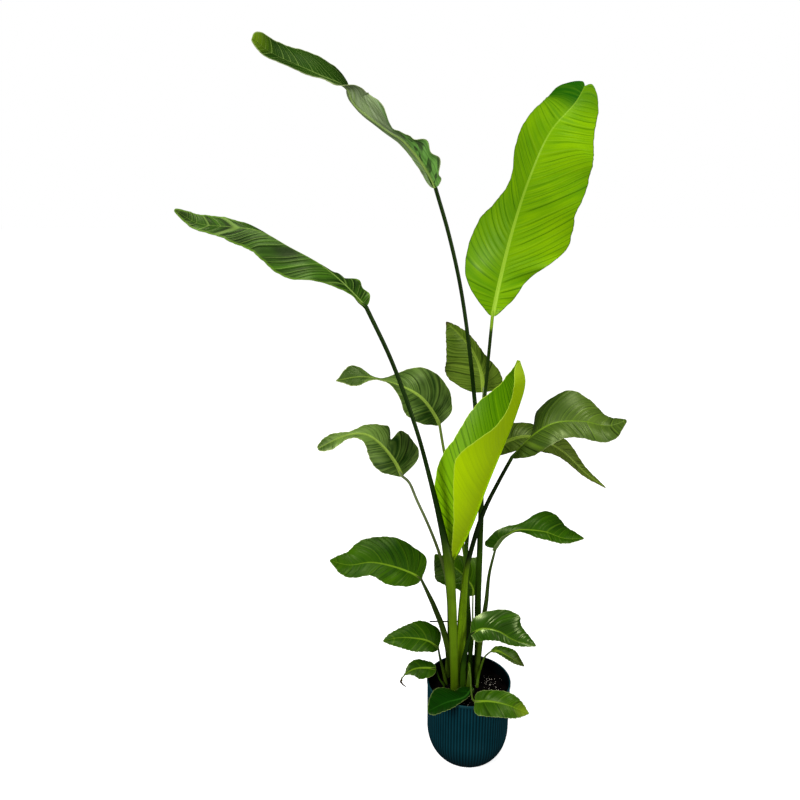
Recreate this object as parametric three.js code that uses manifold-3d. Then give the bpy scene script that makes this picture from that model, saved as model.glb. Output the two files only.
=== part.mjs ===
import * as THREE from 'three';
import { mergeVertices } from 'three/addons/utils/BufferGeometryUtils.js';
import Module from 'manifold-3d';

// A potted bird of paradise, in millimetres. +Z is up, -Y is the front, and the origin is the
// centre of the pot's flat foot.

// Pot: a ribbed wall over a bowl that is an ellipse in section, with a plain lip
const POT_HEIGHT = 230;
const RIM_RADIUS = 112.5;
const WALL_RADIUS = 110;
const WALL = 3;
const LIP_HEIGHT = 7;
const BOWL_TOP = 88.5;
const BOWL_WIDE = 64;
const BOWL_DEEP = 92.5;
const BOWL_STEPS = { outside: 4, inside: 2 };
const WALL_TOP_RADIUS = 111.2;
const LIP_WIDTH = 4;
const RIBS = 84;
const RIB_DEPTH = 1.2;

// Soil and what stands in it
const SOIL_TOP = 200;
const SOIL_EDGE_DROP = 3;
const SOIL_FLAT_SHARE = 0.85;
const PLANTING_DEPTH = 50;
const COLLAR = 8;
const GAP = 0.3;

// Support: a thin stake with a crossbar
const STAKE = { x: 1, y: 86, top: 450, radius: 2.2 };
const CROSSBAR = { z: 353, radius: 2, left: -104, right: 8 };

// Young shoot, still rolled
const SHOOT = { x: -2, y: -8, radius: 6, height: 66, pointed: 0.4 };

// Leaf blades. Lengths along a rib that aren't in millimetres are shares of it.
const BLADE_HALF_THICKNESS = 0.6;
const MIDRIB_HALF_WIDTH = 3;
const MIDRIB_WIDEST_SHARE = 0.2;
const MIDRIB_TIP_SHARE = 0.2;
const BASE_HALF_WIDTH = 3;
const TIP_HALF_WIDTH = 1;
const ROUNDED_BASE = 0.12;
const POINTED_TIP = 0.15;
const BASE_LOBE = 0.3;
const SPLIT_START = 0.85;
const VEIN_BEND = 1.6;
const EASED_STEPS = 0.45;
const MIN_CURL = 0.001;
const CALM = [0, 1, 0];

// Each leaf's rib runs from the blade's base to its tip. The face is the way that the blade's
// upper side looks, along the rib. left and right are the half widths at even steps along it.
// fold gives how far the two halves rise from flat, and curl how much more they rise by the
// margin, in degrees, left then right. A wave is its height, how many, and its phase. sweep
// slants the veins back at the base and forward over the rest. split is how far the two lobes
// of a notched tip stand out past the rib. The stalk runs down from the blade's base, and its
// radii are at even steps from the blade to the soil.
const LEAVES = [
  {
    name: 'leaf_01',
    rib: [
      [-105, 40, 1510], [-126, 38, 1550], [-176, 34, 1610], [-210, 28, 1631], [-284, 20, 1686],
      [-300, 10, 1718], [-360, -10, 1745], [-456, -25, 1786], [-489, -40, 1811],
    ],
    face: [
      [0.8, 0.3, 0.5], [0.65, 0.35, 0.7], [0.6, 0.42, 0.7], [0.5, 0.3, 0.8], [0.3, -0.5, 0.75],
      [0.2, -0.7, 0.7], [0.2, -0.75, 0.6],
    ],
    left: [35, 44, 46, 28, 48, 43, 38, 22, 7, 17, 32, 37, 31],
    right: [28, 25, 35, 44, 49, 46, 46, 36, 43],
    fold: [[23, -22], [25, -7], [-2, 13], [64, 16], [-23, 14], [23, 4], [21, 2]],
    sweep: [-0.1, 0.35],
    stalk: [
      [-72, 45, 1404], [-41, 50, 1276], [-10, 57, 1079], [23, 62, 754], [25, 60, 589],
      [24, 55, 439], [28, 50, 287],
    ],
    foot: [26, 46],
    radii: [4.5, 5, 7.5, 10],
    size: 'large',
  },
  {
    name: 'leaf_02',
    rib: [
      [-262, -30, 1250], [-315, -40, 1309], [-362, -48, 1350], [-426, -55, 1388],
      [-491, -60, 1423], [-554, -70, 1433], [-618, -80, 1441], [-664, -90, 1470],
    ],
    face: [[0.3, -0.3, 0.9], [0.2, -0.3, 0.9], [0.1, -0.5, 0.85]],
    left: [3, 24, 66, 60, 42, 22, 12],
    right: [45, 45, 45, 42, 20, 24, 14],
    fold: [[10, 30], [-25, -25], [-40, -50], [-25, 25], [0, 25]],
    leftWave: [4, 4, 0],
    rightWave: [3, 3, 0],
    sweep: [-0.1, 0.35],
    stalk: [
      [-204, -30, 1122], [-146, -34, 956], [-118, -38, 854], [-87, -54, 729], [-66, -62, 624],
      [-54, -54, 506], [-48, -43, 411], [-43, -27, 310],
    ],
    foot: [-38, -10],
    radii: [5, 5, 5, 5, 5.3, 6.5, 8.8, 12.5, 11.3, 10.7, 10.5, 11],
    size: 'large',
  },
  {
    name: 'leaf_03',
    rib: [
      [32, 20, 1219], [50, 35, 1309], [75, 30, 1428], [106, 10, 1543], [143, 10, 1629],
      [201, 40, 1692], [226, 75, 1727],
    ],
    face: [[-0.1, -1, 0.15], [-0.1, -1, 0.1], [-0.1, -0.8, 0.6]],
    left: [30, 78, 96, 91, 64, 52, 72, 75, 75, 77, 86],
    right: [24, 48, 68, 127, 131, 124, 128, 122, 114, 101, 73, 51, 40],
    fold: [[10, 5], [-40, 0], [-15, -15]],
    leftWave: [4, 3, 0],
    rightWave: [5, 4, 0.3],
    sweep: [-0.1, 0.35],
    round: 0.2,
    tipHalfWidth: 24,
    split: 14,
    stalk: [
      [28, 32, 1129], [25, 44, 1046], [16, 50, 898], [-6, 48, 682], [-12, 42, 593],
      [-4, 45, 445], [5, 42, 324],
    ],
    foot: [8, 40],
    radii: [4, 4.5, 5.5, 7],
    size: 'large',
  },
  {
    name: 'leaf_04',
    rib: [
      [-53, -45, 620], [-18, -50, 696], [25, -60, 832], [55, -60, 917], [87, -60, 1011],
      [102, -60, 1083], [88, -60, 1132],
    ],
    face: [[-0.9, -0.2, 0.3], [-0.9, -0.2, 0.3]],
    left: [19, 76, 124, 139, 132, 128, 117, 90, 69, 26],
    right: [16, 47, 72, 96, 118, 100, 71, 60, 75, 92],
    fold: [[49, 51], [19, 52], [1, 25]],
    curl: [[45, 45], [40, 45], [30, 30]],
    leftWave: [3, 2, 0],
    rightWave: [3, 2, 0.3],
    sweep: [0, 0.3],
    tipHalfWidth: 9,
    stalk: [[-57, -30, 552], [-53, -20, 487], [-47, -10, 421], [-42, 2, 354]],
    foot: [-37, 16],
    radii: [6, 7, 7, 7],
    size: 'large',
  },
  {
    name: 'leaf_05',
    rib: [[29, 130, 999], [21, 130, 1053], [-1, 130, 1107], [-32, 130, 1146], [-70, 130, 1182]],
    face: [[-0.2, -1, 0.2], [-0.1, -1, 0.2], [0.3, -1, 0.2]],
    left: [60, 86, 78, 46, 6],
    right: [66, 46, 28, 18, 6],
    fold: [[10, 0], [0, 40], [0, 20]],
    leftWave: [2, 2, 0],
    rightWave: [3, 2, 0.3],
    sweep: [0, 0.2],
    round: 0.2,
    stalk: [[24, 128, 869], [29, 122, 701], [32, 114, 557], [30, 106, 408], [31, 97, 286]],
    foot: [27, 90],
    radii: [3, 3.5, 4, 5],
    size: 'middle',
  },
  {
    name: 'leaf_06',
    rib: [
      [-86, 60, 935], [-96, 60, 956], [-131, 55, 1006], [-168, 50, 1032], [-229, 40, 1057],
      [-282, 30, 1068], [-339, 20, 1061],
    ],
    face: [
      [0.2, -0.6, 0.8], [0.1, -0.6, 0.8], [0.1, -0.6, 0.8], [0.1, -0.1, 0.9], [0.1, 0.2, 0.9],
      [0, -0.6, 0.8], [0, -0.6, 0.8],
    ],
    left: [20, 56, 60, 42, 14, 24, 5],
    right: [62, 82, 72, 42, 16, 32, 5],
    fold: [[-10, 0], [-10, 10], [0, 10]],
    leftWave: [4, 2, 0],
    rightWave: [4, 2, 0.3],
    sweep: [0, 0.3],
    stalk: [
      [-72, 64, 856], [-42, 72, 724], [-20, 78, 603], [-11, 80, 546], [-7, 78, 425],
      [-7, 72, 303],
    ],
    foot: [-14, 64],
    radii: [3.5, 4, 5, 6],
    size: 'middle',
  },
  {
    name: 'leaf_07',
    rib: [
      [-180, 40, 805], [-198, 40, 843], [-240, 35, 899], [-274, 30, 921], [-320, 20, 920],
      [-387, 10, 890],
    ],
    face: [
      [0.2, -0.6, 0.8], [0.1, -0.6, 0.8], [0.1, -0.5, 0.8], [0.1, -0.4, 0.9], [0, -0.6, 0.8],
    ],
    left: [14, 48, 46, 28, 12, 20, 16],
    right: [76, 78, 54, 32, 10, 20, 16],
    fold: [[-10, 0], [-10, 10], [0, 10]],
    leftWave: [4, 2, 0],
    rightWave: [5, 2.5, 0.3],
    sweep: [0, 0.3],
    rightNick: { at: 0.3, depth: 30, width: 0.03 },
    stalk: [
      [-163, 42, 788], [-142, 44, 737], [-111, 48, 663], [-84, 53, 587], [-64, 58, 513],
      [-54, 62, 435], [-48, 66, 308],
    ],
    foot: [-40, 68],
    radii: [3.5, 4, 5.5, 7],
    size: 'large',
  },
  {
    name: 'leaf_08',
    rib: [
      [93, 20, 864], [106, 15, 888], [145, 0, 935], [187, -15, 966], [249, -30, 975],
      [308, -40, 967], [348, -50, 984],
    ],
    face: [[-0.3, -0.5, 0.8], [0, -0.5, 0.85], [0, -0.3, 0.9]],
    left: [50, 50, 58, 82, 58, 32, 12],
    right: [16, 42, 48, 42, 46, 44, 16],
    fold: [[-80, -15], [-75, -20], [0, -20], [15, -20], [15, -20], [10, -10], [0, -10]],
    leftWave: [4, 2, 0],
    rightWave: [4, 3, 0.3],
    sweep: [-0.1, 0.3],
    stalk: [
      [64, 18, 804], [29, 12, 727], [6, 8, 651], [-15, 4, 553], [-19, 4, 494], [-22, 6, 406],
      [-22, 8, 325],
    ],
    foot: [-16, 10],
    radii: [4.5, 5, 6, 6.5, 9.5, 11.5, 10.5, 10],
    size: 'middle',
  },
  {
    name: 'leaf_09',
    rib: [
      [51, 90, 851], [93, 90, 881], [147, 90, 892], [226, 90, 856], [296, 85, 792],
      [348, 80, 755],
    ],
    face: [[0, -0.5, 0.85], [0.2, -0.5, 0.85], [0.5, -0.4, 0.7]],
    left: [36, 46, 40, 38, 24, 15, 5],
    right: [26, 36, 42, 28, 17, 12, 4],
    fold: [[0, 0], [10, 0], [10, 0]],
    leftWave: [3, 2, 0],
    rightWave: [3, 2, 0.3],
    sweep: [-0.2, 0.35],
    stalk: [[38, 90, 801], [27, 90, 716], [29, 86, 572], [28, 80, 424], [29, 74, 302]],
    foot: [27, 70],
    radii: [3, 3.5, 4, 5],
    size: 'middle',
  },
  {
    name: 'leaf_10',
    rib: [
      [58, 0, 621], [78, -5, 655], [107, -10, 677], [131, -15, 682], [178, -20, 679],
      [228, -25, 663], [274, -30, 666],
    ],
    face: [[-0.2, -0.5, 0.8], [0, -0.5, 0.85], [0, -0.3, 0.9]],
    left: [40, 26, 18, 58, 56, 34, 8],
    right: [20, 22, 14, 22, 20, 14, 6],
    fold: [[30, 50], [20, 50], [10, 0], [0, 0], [0, 0]],
    curl: [[10, 50], [10, 40], [0, 0], [0, 0], [0, 0]],
    leftWave: [2, 2, 0],
    rightWave: [2, 2, 0.3],
    sweep: [-0.8, 0.35],
    stalk: [[46, 10, 543], [42, 20, 455], [37, 27, 396], [29, 28, 310]],
    foot: [24, 24],
    radii: [3, 4.5, 6.5, 8, 7.5],
    size: 'middle',
  },
  {
    name: 'leaf_11',
    rib: [
      [-130, 20, 523], [-151, 20, 538], [-208, 15, 564], [-260, 10, 577], [-316, 0, 575],
      [-364, -10, 593],
    ],
    face: [[0.2, -0.6, 0.8], [0.1, -0.6, 0.8], [0, -0.4, 0.9]],
    left: [25, 48, 36, 34, 8],
    right: [60, 76, 64, 38, 8],
    fold: [[-10, 0], [-10, 10], [0, 10]],
    leftWave: [4, 2, 0],
    rightWave: [3, 3, 0.3],
    sweep: [-0.15, 0.35],
    stalk: [[-99, 24, 450], [-90, 31, 423], [-73, 37, 373], [-52, 44, 281]],
    foot: [-54, 51],
    radii: [3.5, 6.5, 8, 9, 9],
    size: 'middle',
  },
  {
    name: 'leaf_12',
    rib: [[19, 140, 400], [18, 140, 425], [-12, 138, 470], [-40, 135, 497], [-90, 130, 535]],
    face: [[0.1, -1, 0.2], [0.1, -1, 0.3], [0.1, -1, 0.4]],
    left: [20, 31, 41, 53, 58, 58, 34, 10],
    right: [8, 31, 66, 49, 38, 27, 10, 6],
    fold: [[8, -18], [22, 18]],
    sweep: [-0.1, 0.35],
    stalk: [[19, 130, 345], [20, 115, 274]],
    foot: [12, 93],
    radii: [2, 3.5],
    size: 'small',
  },
  {
    name: 'leaf_13',
    rib: [[-83, 10, 321], [-111, 5, 346], [-149, 0, 358], [-196, -10, 365], [-229, -20, 362]],
    face: [[0.2, -0.5, 0.85], [0.1, -0.5, 0.85], [0, -0.4, 0.9]],
    left: [14, 32, 34, 24, 6],
    right: [42, 50, 36, 20, 6],
    fold: [[-10, 0], [-10, 10], [0, 10]],
    leftWave: [2, 2, 0],
    rightWave: [2, 2, 0.3],
    sweep: [-0.2, 0.35],
    stalk: [[-76, 12, 282], [-66, 14, 239]],
    foot: [-60, 16],
    radii: [2.5, 5],
    size: 'small',
  },
  {
    name: 'leaf_14',
    rib: [
      [-88, 10, 255], [-115, 5, 262], [-147, 0, 262], [-173, -5, 247], [-183, -5, 225],
      [-169, -5, 209],
    ],
    face: [[0.2, -0.5, 0.85], [0.1, -0.5, 0.85], [0, -0.4, 0.9]],
    left: [15, 26, 28, 14, 2, 4, 1],
    right: [14, 20, 24, 16, 1, 2, 1],
    fold: [[-10, 0], [-10, 10], [0, 10]],
    leftWave: [2, 2, 0],
    rightWave: [2, 2, 0.3],
    sweep: [-0.1, 0.2],
    stalk: [[-78, 8, 225]],
    foot: [-66, 4],
    radii: [2, 2.5],
    size: 'small',
  },
  {
    name: 'leaf_15',
    rib: [[1, -15, 381], [30, -20, 400], [70, -28, 398], [111, -35, 376], [167, -45, 365]],
    face: [[-0.2, -0.8, 0.6], [0, -0.8, 0.6], [0, -0.5, 0.85]],
    left: [8, 46, 62, 36, 8],
    right: [30, 30, 22, 12, 4],
    fold: [[10, -10], [10, -10], [0, 0]],
    leftWave: [2, 2, 0],
    rightWave: [2, 2, 0.3],
    sweep: [-0.2, 0.15],
    stalk: [[-6, -15, 360], [-11, -15, 332], [-17, -13, 284]],
    foot: [-17, -10],
    radii: [3, 6, 8.5, 8],
    size: 'small',
  },
  {
    name: 'leaf_16',
    rib: [[60, 20, 304], [79, 20, 304], [109, 20, 286], [151, 20, 257]],
    face: [[-0.2, -0.5, 0.85], [0, -0.5, 0.85], [0, -0.4, 0.9]],
    left: [6, 18, 24, 18, 4],
    right: [3, 8, 10, 8, 3],
    fold: [[10, -10], [10, -10], [0, 0]],
    leftWave: [2, 2, 0],
    rightWave: [2, 2, 0.3],
    sweep: [-0.1, 0.3],
    stalk: [[44, 20, 286], [34, 17, 256], [27, 13, 227]],
    foot: [24, 4],
    radii: [2, 4],
    size: 'small',
  },
  {
    name: 'leaf_17',
    rib: [[5, -22, 219], [6, -32, 229], [-18, -83, 238], [-68, -123, 252], [-116, -168, 262]],
    face: [[0.2, -0.4, 0.7], [0.2, -0.67, 0.7]],
    left: [5, 7, 8, 18, 17, 15],
    right: [31, 36, 42, 45, 30, 9],
    fold: [[1, -40], [-2, -30], [-12, 3]],
    sweep: [0, 0.3],
    stalk: [],
    foot: [11, -14],
    radii: [2.5, 4],
    size: 'small',
  },
  {
    name: 'leaf_18',
    rib: [[7, -108, 243], [43, -125, 257], [82, -140, 259], [138, -155, 244]],
    face: [[-0.2, -0.5, 0.85], [0, -0.5, 0.85], [0, -0.4, 0.9]],
    left: [22, 28, 31, 24, 4],
    right: [32, 37, 33, 24, 4],
    fold: [[10, -10], [10, -10], [0, 0]],
    leftWave: [2, 2, 0],
    rightWave: [2, 2, 0.3],
    sweep: [-0.25, 0.35],
    stalk: [[2, -98, 242], [0, -72, 251], [0, -38, 268], [-1, -8, 284], [-1, 8, 272]],
    foot: [-2, 20],
    radii: [2.5, 4],
    size: 'small',
  },
];

// Facets of each size of leaf: steps along the rib, places across each half, stalk steps
const FACETS = {
  large: { along: 17, across: [0.3, 0.65, 1], stalk: 11 },
  middle: { along: 12, across: [0.3, 0.65, 1], stalk: 9 },
  small: { along: 9, across: [0.5, 1], stalk: 5 },
};
const STALK_SIDES = 8;
const POT_SIDES = 2 * RIBS;
const SOIL_SIDES = 56;
const HOLE_SIDES = 12;
const ROD_SIDES = 10;

const wasm = await Module();
wasm.setup();

const material = (color, roughness) => new THREE.MeshStandardMaterial({ color, roughness });
const MATERIALS = {
  pot: material(0x0b3346, 0.45),
  soil: material(0x241c15, 0.95),
  support: material(0x15171a, 0.5),
  stalk: material(0x33501a, 0.45),
  blade: material(0x3f6e1c, 0.4),
  bright: material(0x86b013, 0.45),
};
const BRIGHT_LEAVES = ['leaf_03', 'leaf_04'];

const radians = THREE.MathUtils.degToRad;
const wave = (turns) => Math.sin(2 * Math.PI * turns);
const vector = ([x, y, z]) => new THREE.Vector3(x, y, z);

// Closed surface from corner positions and triangles of corner numbers
function closedSurface(corners, triangles) {
  const geometry = new THREE.BufferGeometry();
  const positions = corners.flatMap((corner) => corner.toArray());
  geometry.setAttribute('position', new THREE.Float32BufferAttribute(positions, 3));
  geometry.setIndex(triangles.flat());
  return geometry;
}

// Joining and cutting of closed geometries
function solid(geometry) {
  const bare = geometry.clone();
  bare.deleteAttribute('normal');
  bare.deleteAttribute('uv');
  const merged = mergeVertices(bare);
  const index = [...merged.index.array];
  const triangles = [];
  for (let i = 0; i < index.length; i += 3) {
    const [a, b, c] = index.slice(i, i + 3);
    if (a !== b && b !== c && c !== a) triangles.push(a, b, c);
  }
  return new wasm.Manifold(new wasm.Mesh({
    numProp: 3,
    vertProperties: new Float32Array(merged.attributes.position.array),
    triVerts: new Uint32Array(triangles),
  }));
}

function fromSolid(manifold) {
  const mesh = manifold.getMesh();
  const geometry = new THREE.BufferGeometry();
  geometry.setAttribute('position', new THREE.BufferAttribute(mesh.vertProperties, 3));
  geometry.setIndex([...mesh.triVerts]);
  return geometry;
}

// Value at a share of the way through a list given at even steps, on a smooth curve
function along(list, share) {
  if (Array.isArray(list[0])) {
    return list[0].map((_, axis) => along(list.map((entry) => entry[axis]), share));
  }
  const last = list.length - 1;
  const place = THREE.MathUtils.clamp(share, 0, 1) * last;
  const step = Math.min(Math.floor(place), last - 1);
  const a = step > 0 ? list[step - 1] : 2 * list[0] - list[1];
  const b = list[step];
  const c = list[step + 1];
  const d = step + 2 <= last ? list[step + 2] : 2 * list[last] - list[last - 1];
  const w = place - step;
  return b + 0.5 * w * (c - a + w * (2 * a - 5 * b + 4 * c - d + w * (3 * (b - c) + d - a)));
}

// Point on a leaf's rib, at a share of its length, with the way forward, the way that the upper
// side looks and the way to the right half. Past either end the rib runs on straight.
function ribFrame(leaf, rib, share) {
  const inside = THREE.MathUtils.clamp(share, 0, 1);
  const forward = rib.getTangentAt(inside);
  const point = rib.getPointAt(inside).addScaledVector(forward, (share - inside) * rib.getLength());
  const face = vector(along(leaf.face, inside));
  face.addScaledVector(forward, -face.dot(forward)).normalize();
  const right = new THREE.Vector3().crossVectors(forward, face);
  return { point, forward, face, right };
}

const roundedEnd = (share) => Math.sqrt(1 - (1 - Math.min(1, share)) ** 2);

function stemHalfWidth(leaf, share) {
  const tip = leaf.tipHalfWidth ?? TIP_HALF_WIDTH;
  return BASE_HALF_WIDTH + (tip - BASE_HALF_WIDTH) * share;
}

function halfWidth(leaf, side, share) {
  const least = stemHalfWidth(leaf, share);
  const ends = roundedEnd(share / (leaf.round ?? ROUNDED_BASE)) * roundedEnd((1 - share) / POINTED_TIP);
  const full = least + Math.max(0, along(leaf[side], share) - least) * ends;
  const nick = leaf[`${side}Nick`];
  return nick ? full - nick.depth * Math.exp(-(((share - nick.at) / nick.width) ** 2)) : full;
}

// Point of a blade's middle surface: side is left or right, share runs along the rib, and
// across runs from the rib to the margin
function bladePoint(leaf, rib, side, share, across) {
  const length = rib.getLength();
  const half = halfWidth(leaf, side, share);
  const widest = Math.max(...leaf[side]);
  const lobe = THREE.MathUtils.smoothstep(share, 0, BASE_LOBE);
  const sweep = leaf.sweep[0] + (leaf.sweep[1] - leaf.sweep[0]) * lobe;
  const slant = sweep * (half - stemHalfWidth(leaf, share)) * across ** VEIN_BEND;
  const split = (leaf.split ?? 0) * THREE.MathUtils.smoothstep(share, SPLIT_START, 1);
  const place = share + (slant + split * Math.sin(Math.PI * across)) / length;
  const { point, face, right } = ribFrame(leaf, rib, place);
  const index = side === 'left' ? 0 : 1;
  const fold = radians(along(leaf.fold, place)[index]);
  const curl = radians(leaf.curl ? along(leaf.curl, place)[index] : 0) || MIN_CURL;
  const reach = (across * half) / widest;
  const angle = fold + curl * reach;
  const out = ((Math.sin(angle) - Math.sin(fold)) / curl) * widest;
  const up = ((Math.cos(fold) - Math.cos(angle)) / curl) * widest;
  const [height, count, phase] = leaf[`${side}Wave`] ?? CALM;
  const narrow = Math.min(1, (half / widest) * 1.5);
  const ripple = height * across ** 2 * wave(count * place + phase) * narrow;
  const outward = side === 'left' ? -1 : 1;
  point.addScaledVector(right, outward * (out - Math.sin(angle) * ripple));
  point.addScaledVector(face, up + Math.cos(angle) * ripple);
  return point;
}

// Thin closed shell of a blade: a top and a bottom grid with the same triangles, joined round
// the margin, with the midrib as a ridge underneath
function blade(leaf) {
  const rib = new THREE.CatmullRomCurve3(leaf.rib.map(vector), false, 'centripetal');
  const facets = FACETS[leaf.size];
  const shares = [];
  for (let i = 0; i <= facets.along; i += 1) {
    const even = i / facets.along;
    shares.push(even - (EASED_STEPS * wave(even)) / (2 * Math.PI));
  }
  const middle = shares.map((share) => bladeRow(leaf, rib, share, facets.across));
  const columns = middle[0].length;
  const centre = (columns - 1) / 2;
  const top = [];
  const bottom = [];
  middle.forEach((row, i) => row.forEach((point, j) => {
    const above = middle[Math.min(i + 1, facets.along)][j];
    const below = middle[Math.max(i - 1, 0)][j];
    const forward = above.clone().sub(below);
    const right = row[Math.min(j + 1, columns - 1)].clone().sub(row[Math.max(j - 1, 0)]);
    const onRib = j === centre;
    const normal = onRib ? ribFrame(leaf, rib, shares[i]).face : right.cross(forward).normalize();
    const ridge = onRib ? midribHeight(leaf, shares[i]) : 0;
    top.push(point.clone().addScaledVector(normal, BLADE_HALF_THICKNESS));
    bottom.push(point.clone().addScaledVector(normal, -BLADE_HALF_THICKNESS - ridge));
  }));
  return closedSurface([...top, ...bottom], shellTriangles(facets.along, columns - 1));
}

function bladeRow(leaf, rib, share, across) {
  const sides = ['left', 'right'].map((side) => {
    const midrib = MIDRIB_HALF_WIDTH / halfWidth(leaf, side, share);
    const places = [Math.min(midrib, MIDRIB_WIDEST_SHARE), ...across];
    return places.map((place) => bladePoint(leaf, rib, side, share, place));
  });
  return [...sides[0].reverse(), bladePoint(leaf, rib, 'left', share, 0), ...sides[1]];
}

// The ridge is as thick as the stalk at the blade's base, and lower where the halves fold down
function midribHeight(leaf, share) {
  const height = leaf.radii[0] * (1 - (1 - MIDRIB_TIP_SHARE) * share);
  const folds = along(leaf.fold, share).map((fold) => Math.cos(radians(Math.min(0, fold))));
  return height * folds[0] * folds[1];
}

function shellTriangles(rows, columns) {
  const number = (row, column) => row * (columns + 1) + column;
  const bottom = (rows + 1) * (columns + 1);
  const triangles = [];
  for (let i = 0; i < rows; i += 1) {
    for (let j = 0; j < columns; j += 1) {
      const [a, b] = [number(i, j), number(i + 1, j)];
      const [c, d] = [number(i + 1, j + 1), number(i, j + 1)];
      triangles.push([a, d, c], [a, c, b]);
      triangles.push([bottom + a, bottom + c, bottom + d], [bottom + a, bottom + b, bottom + c]);
    }
  }
  const margin = [];
  for (let j = 0; j < columns; j += 1) margin.push(number(0, j));
  for (let i = 0; i < rows; i += 1) margin.push(number(i, columns));
  for (let j = columns; j > 0; j -= 1) margin.push(number(rows, j));
  for (let i = rows; i > 0; i -= 1) margin.push(number(i, 0));
  margin.forEach((p, k) => {
    const q = margin[(k + 1) % margin.length];
    triangles.push([q, p, bottom + p], [q, bottom + p, bottom + q]);
  });
  return triangles;
}

// Stalk: round rings down a curve from just behind the blade, then straight into the soil
function stalk(leaf) {
  const [base, next] = leaf.rib.map(vector);
  const backward = base.clone().sub(next).normalize();
  const [x, y] = leaf.foot;
  const points = [base, ...leaf.stalk.map(vector), vector([x, y, SOIL_TOP + COLLAR])];
  const curve = new THREE.CatmullRomCurve3(points, false, 'centripetal');
  const down = vector([0, 0, -1]);
  const steps = FACETS[leaf.size].stalk;
  const stations = [];
  for (let i = 0; i <= steps; i += 1) {
    const share = i / steps;
    stations.push({ centre: curve.getPointAt(share), way: curve.getTangentAt(share), share });
  }
  stations[0].centre.addScaledVector(backward, GAP);
  stations[0].way = backward;
  stations[steps].way = down;
  stations.push({ centre: vector([x, y, SOIL_TOP - PLANTING_DEPTH]), way: down, share: 1 });
  const across = vector([0, 1, 0]);
  const corners = stations.flatMap(({ centre, way, share }) => {
    across.addScaledVector(way, -across.dot(way)).normalize();
    const other = new THREE.Vector3().crossVectors(way, across);
    return ring(centre, across, other, along(leaf.radii, share));
  });
  return closedSurface(corners, tubeTriangles(stations.length, STALK_SIDES));
}

function ring(centre, first, second, radius) {
  const corners = [];
  for (let k = 0; k < STALK_SIDES; k += 1) {
    const angle = (2 * Math.PI * k) / STALK_SIDES;
    const corner = centre.clone().addScaledVector(first, radius * Math.cos(angle));
    corners.push(corner.addScaledVector(second, radius * Math.sin(angle)));
  }
  return corners;
}

function tubeTriangles(rings, sides) {
  const triangles = [];
  for (let i = 0; i < rings - 1; i += 1) {
    for (let k = 0; k < sides; k += 1) {
      const [a, d] = [i * sides + k, i * sides + ((k + 1) % sides)];
      const [b, c] = [a + sides, d + sides];
      triangles.push([a, d, c], [a, c, b]);
    }
  }
  const last = (rings - 1) * sides;
  for (let k = 1; k < sides - 1; k += 1) {
    triangles.push([0, k + 1, k], [last, last + k, last + k + 1]);
  }
  return triangles;
}

// Half section of the rounded bowl from its flat foot up to the wall, set in from the outside
function bowl(inset, steps) {
  const [wide, deep] = [BOWL_WIDE - inset, BOWL_DEEP - inset];
  const start = Math.asin((BOWL_TOP - inset) / deep);
  const points = [];
  for (let k = 0; k <= steps; k += 1) {
    const angle = start * (1 - k / steps);
    const radius = WALL_RADIUS - BOWL_WIDE + wide * Math.cos(angle);
    points.push(new THREE.Vector2(radius, BOWL_TOP - deep * Math.sin(angle)));
  }
  return points;
}

function turned(points, sides) {
  return new THREE.LatheGeometry(points, sides).rotateX(Math.PI / 2);
}

// The ribs stand between grooves: every other upright line of the outer wall is pushed in
function pot() {
  const lipBottom = POT_HEIGHT - LIP_HEIGHT;
  const outside = [...bowl(0, BOWL_STEPS.outside), new THREE.Vector2(WALL_TOP_RADIUS, lipBottom)];
  const points = [
    new THREE.Vector2(0, 0),
    ...outside,
    new THREE.Vector2(RIM_RADIUS, lipBottom),
    new THREE.Vector2(RIM_RADIUS, POT_HEIGHT),
    new THREE.Vector2(RIM_RADIUS - LIP_WIDTH, POT_HEIGHT),
    ...bowl(WALL, BOWL_STEPS.inside).reverse(),
    new THREE.Vector2(0, WALL),
  ];
  const geometry = turned(points, POT_SIDES);
  const place = geometry.attributes.position;
  for (let side = 1; side < POT_SIDES; side += 2) {
    for (let k = 2; k <= outside.length; k += 1) {
      const corner = side * points.length + k;
      const inward = 1 - RIB_DEPTH / points[k].x;
      place.setXY(corner, place.getX(corner) * inward, place.getY(corner) * inward);
    }
  }
  return geometry;
}

function upright(x, y, radius, bottom, top, sides) {
  const rod = new THREE.CylinderGeometry(radius, radius, top - bottom, sides);
  return rod.rotateX(Math.PI / 2).translate(x, y, (top + bottom) / 2);
}

// Filling of the pot with a plain hole for each thing that stands in it
function soil() {
  const edge = SOIL_TOP - SOIL_EDGE_DROP;
  const rise = (edge - BOWL_TOP) / (POT_HEIGHT - BOWL_TOP);
  const wall = THREE.MathUtils.lerp(WALL_RADIUS - WALL, RIM_RADIUS - LIP_WIDTH, rise) - GAP;
  const points = [
    new THREE.Vector2(0, WALL + GAP),
    ...bowl(WALL + GAP, BOWL_STEPS.inside),
    new THREE.Vector2(wall, edge),
    new THREE.Vector2(wall * SOIL_FLAT_SHARE, SOIL_TOP),
    new THREE.Vector2(0, SOIL_TOP),
  ];
  const planted = [
    ...LEAVES.map((leaf) => [...leaf.foot, leaf.radii.at(-1)]),
    [STAKE.x, STAKE.y, STAKE.radius],
    [SHOOT.x, SHOOT.y, SHOOT.radius],
  ];
  let filling = solid(turned(points, SOIL_SIDES));
  planted.forEach(([x, y, radius]) => {
    const clear = (radius + GAP) / Math.cos(Math.PI / HOLE_SIDES);
    const bottom = SOIL_TOP - PLANTING_DEPTH - GAP;
    filling = filling.subtract(solid(upright(x, y, clear, bottom, SOIL_TOP + COLLAR, HOLE_SIDES)));
  });
  return fromSolid(filling);
}

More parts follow.
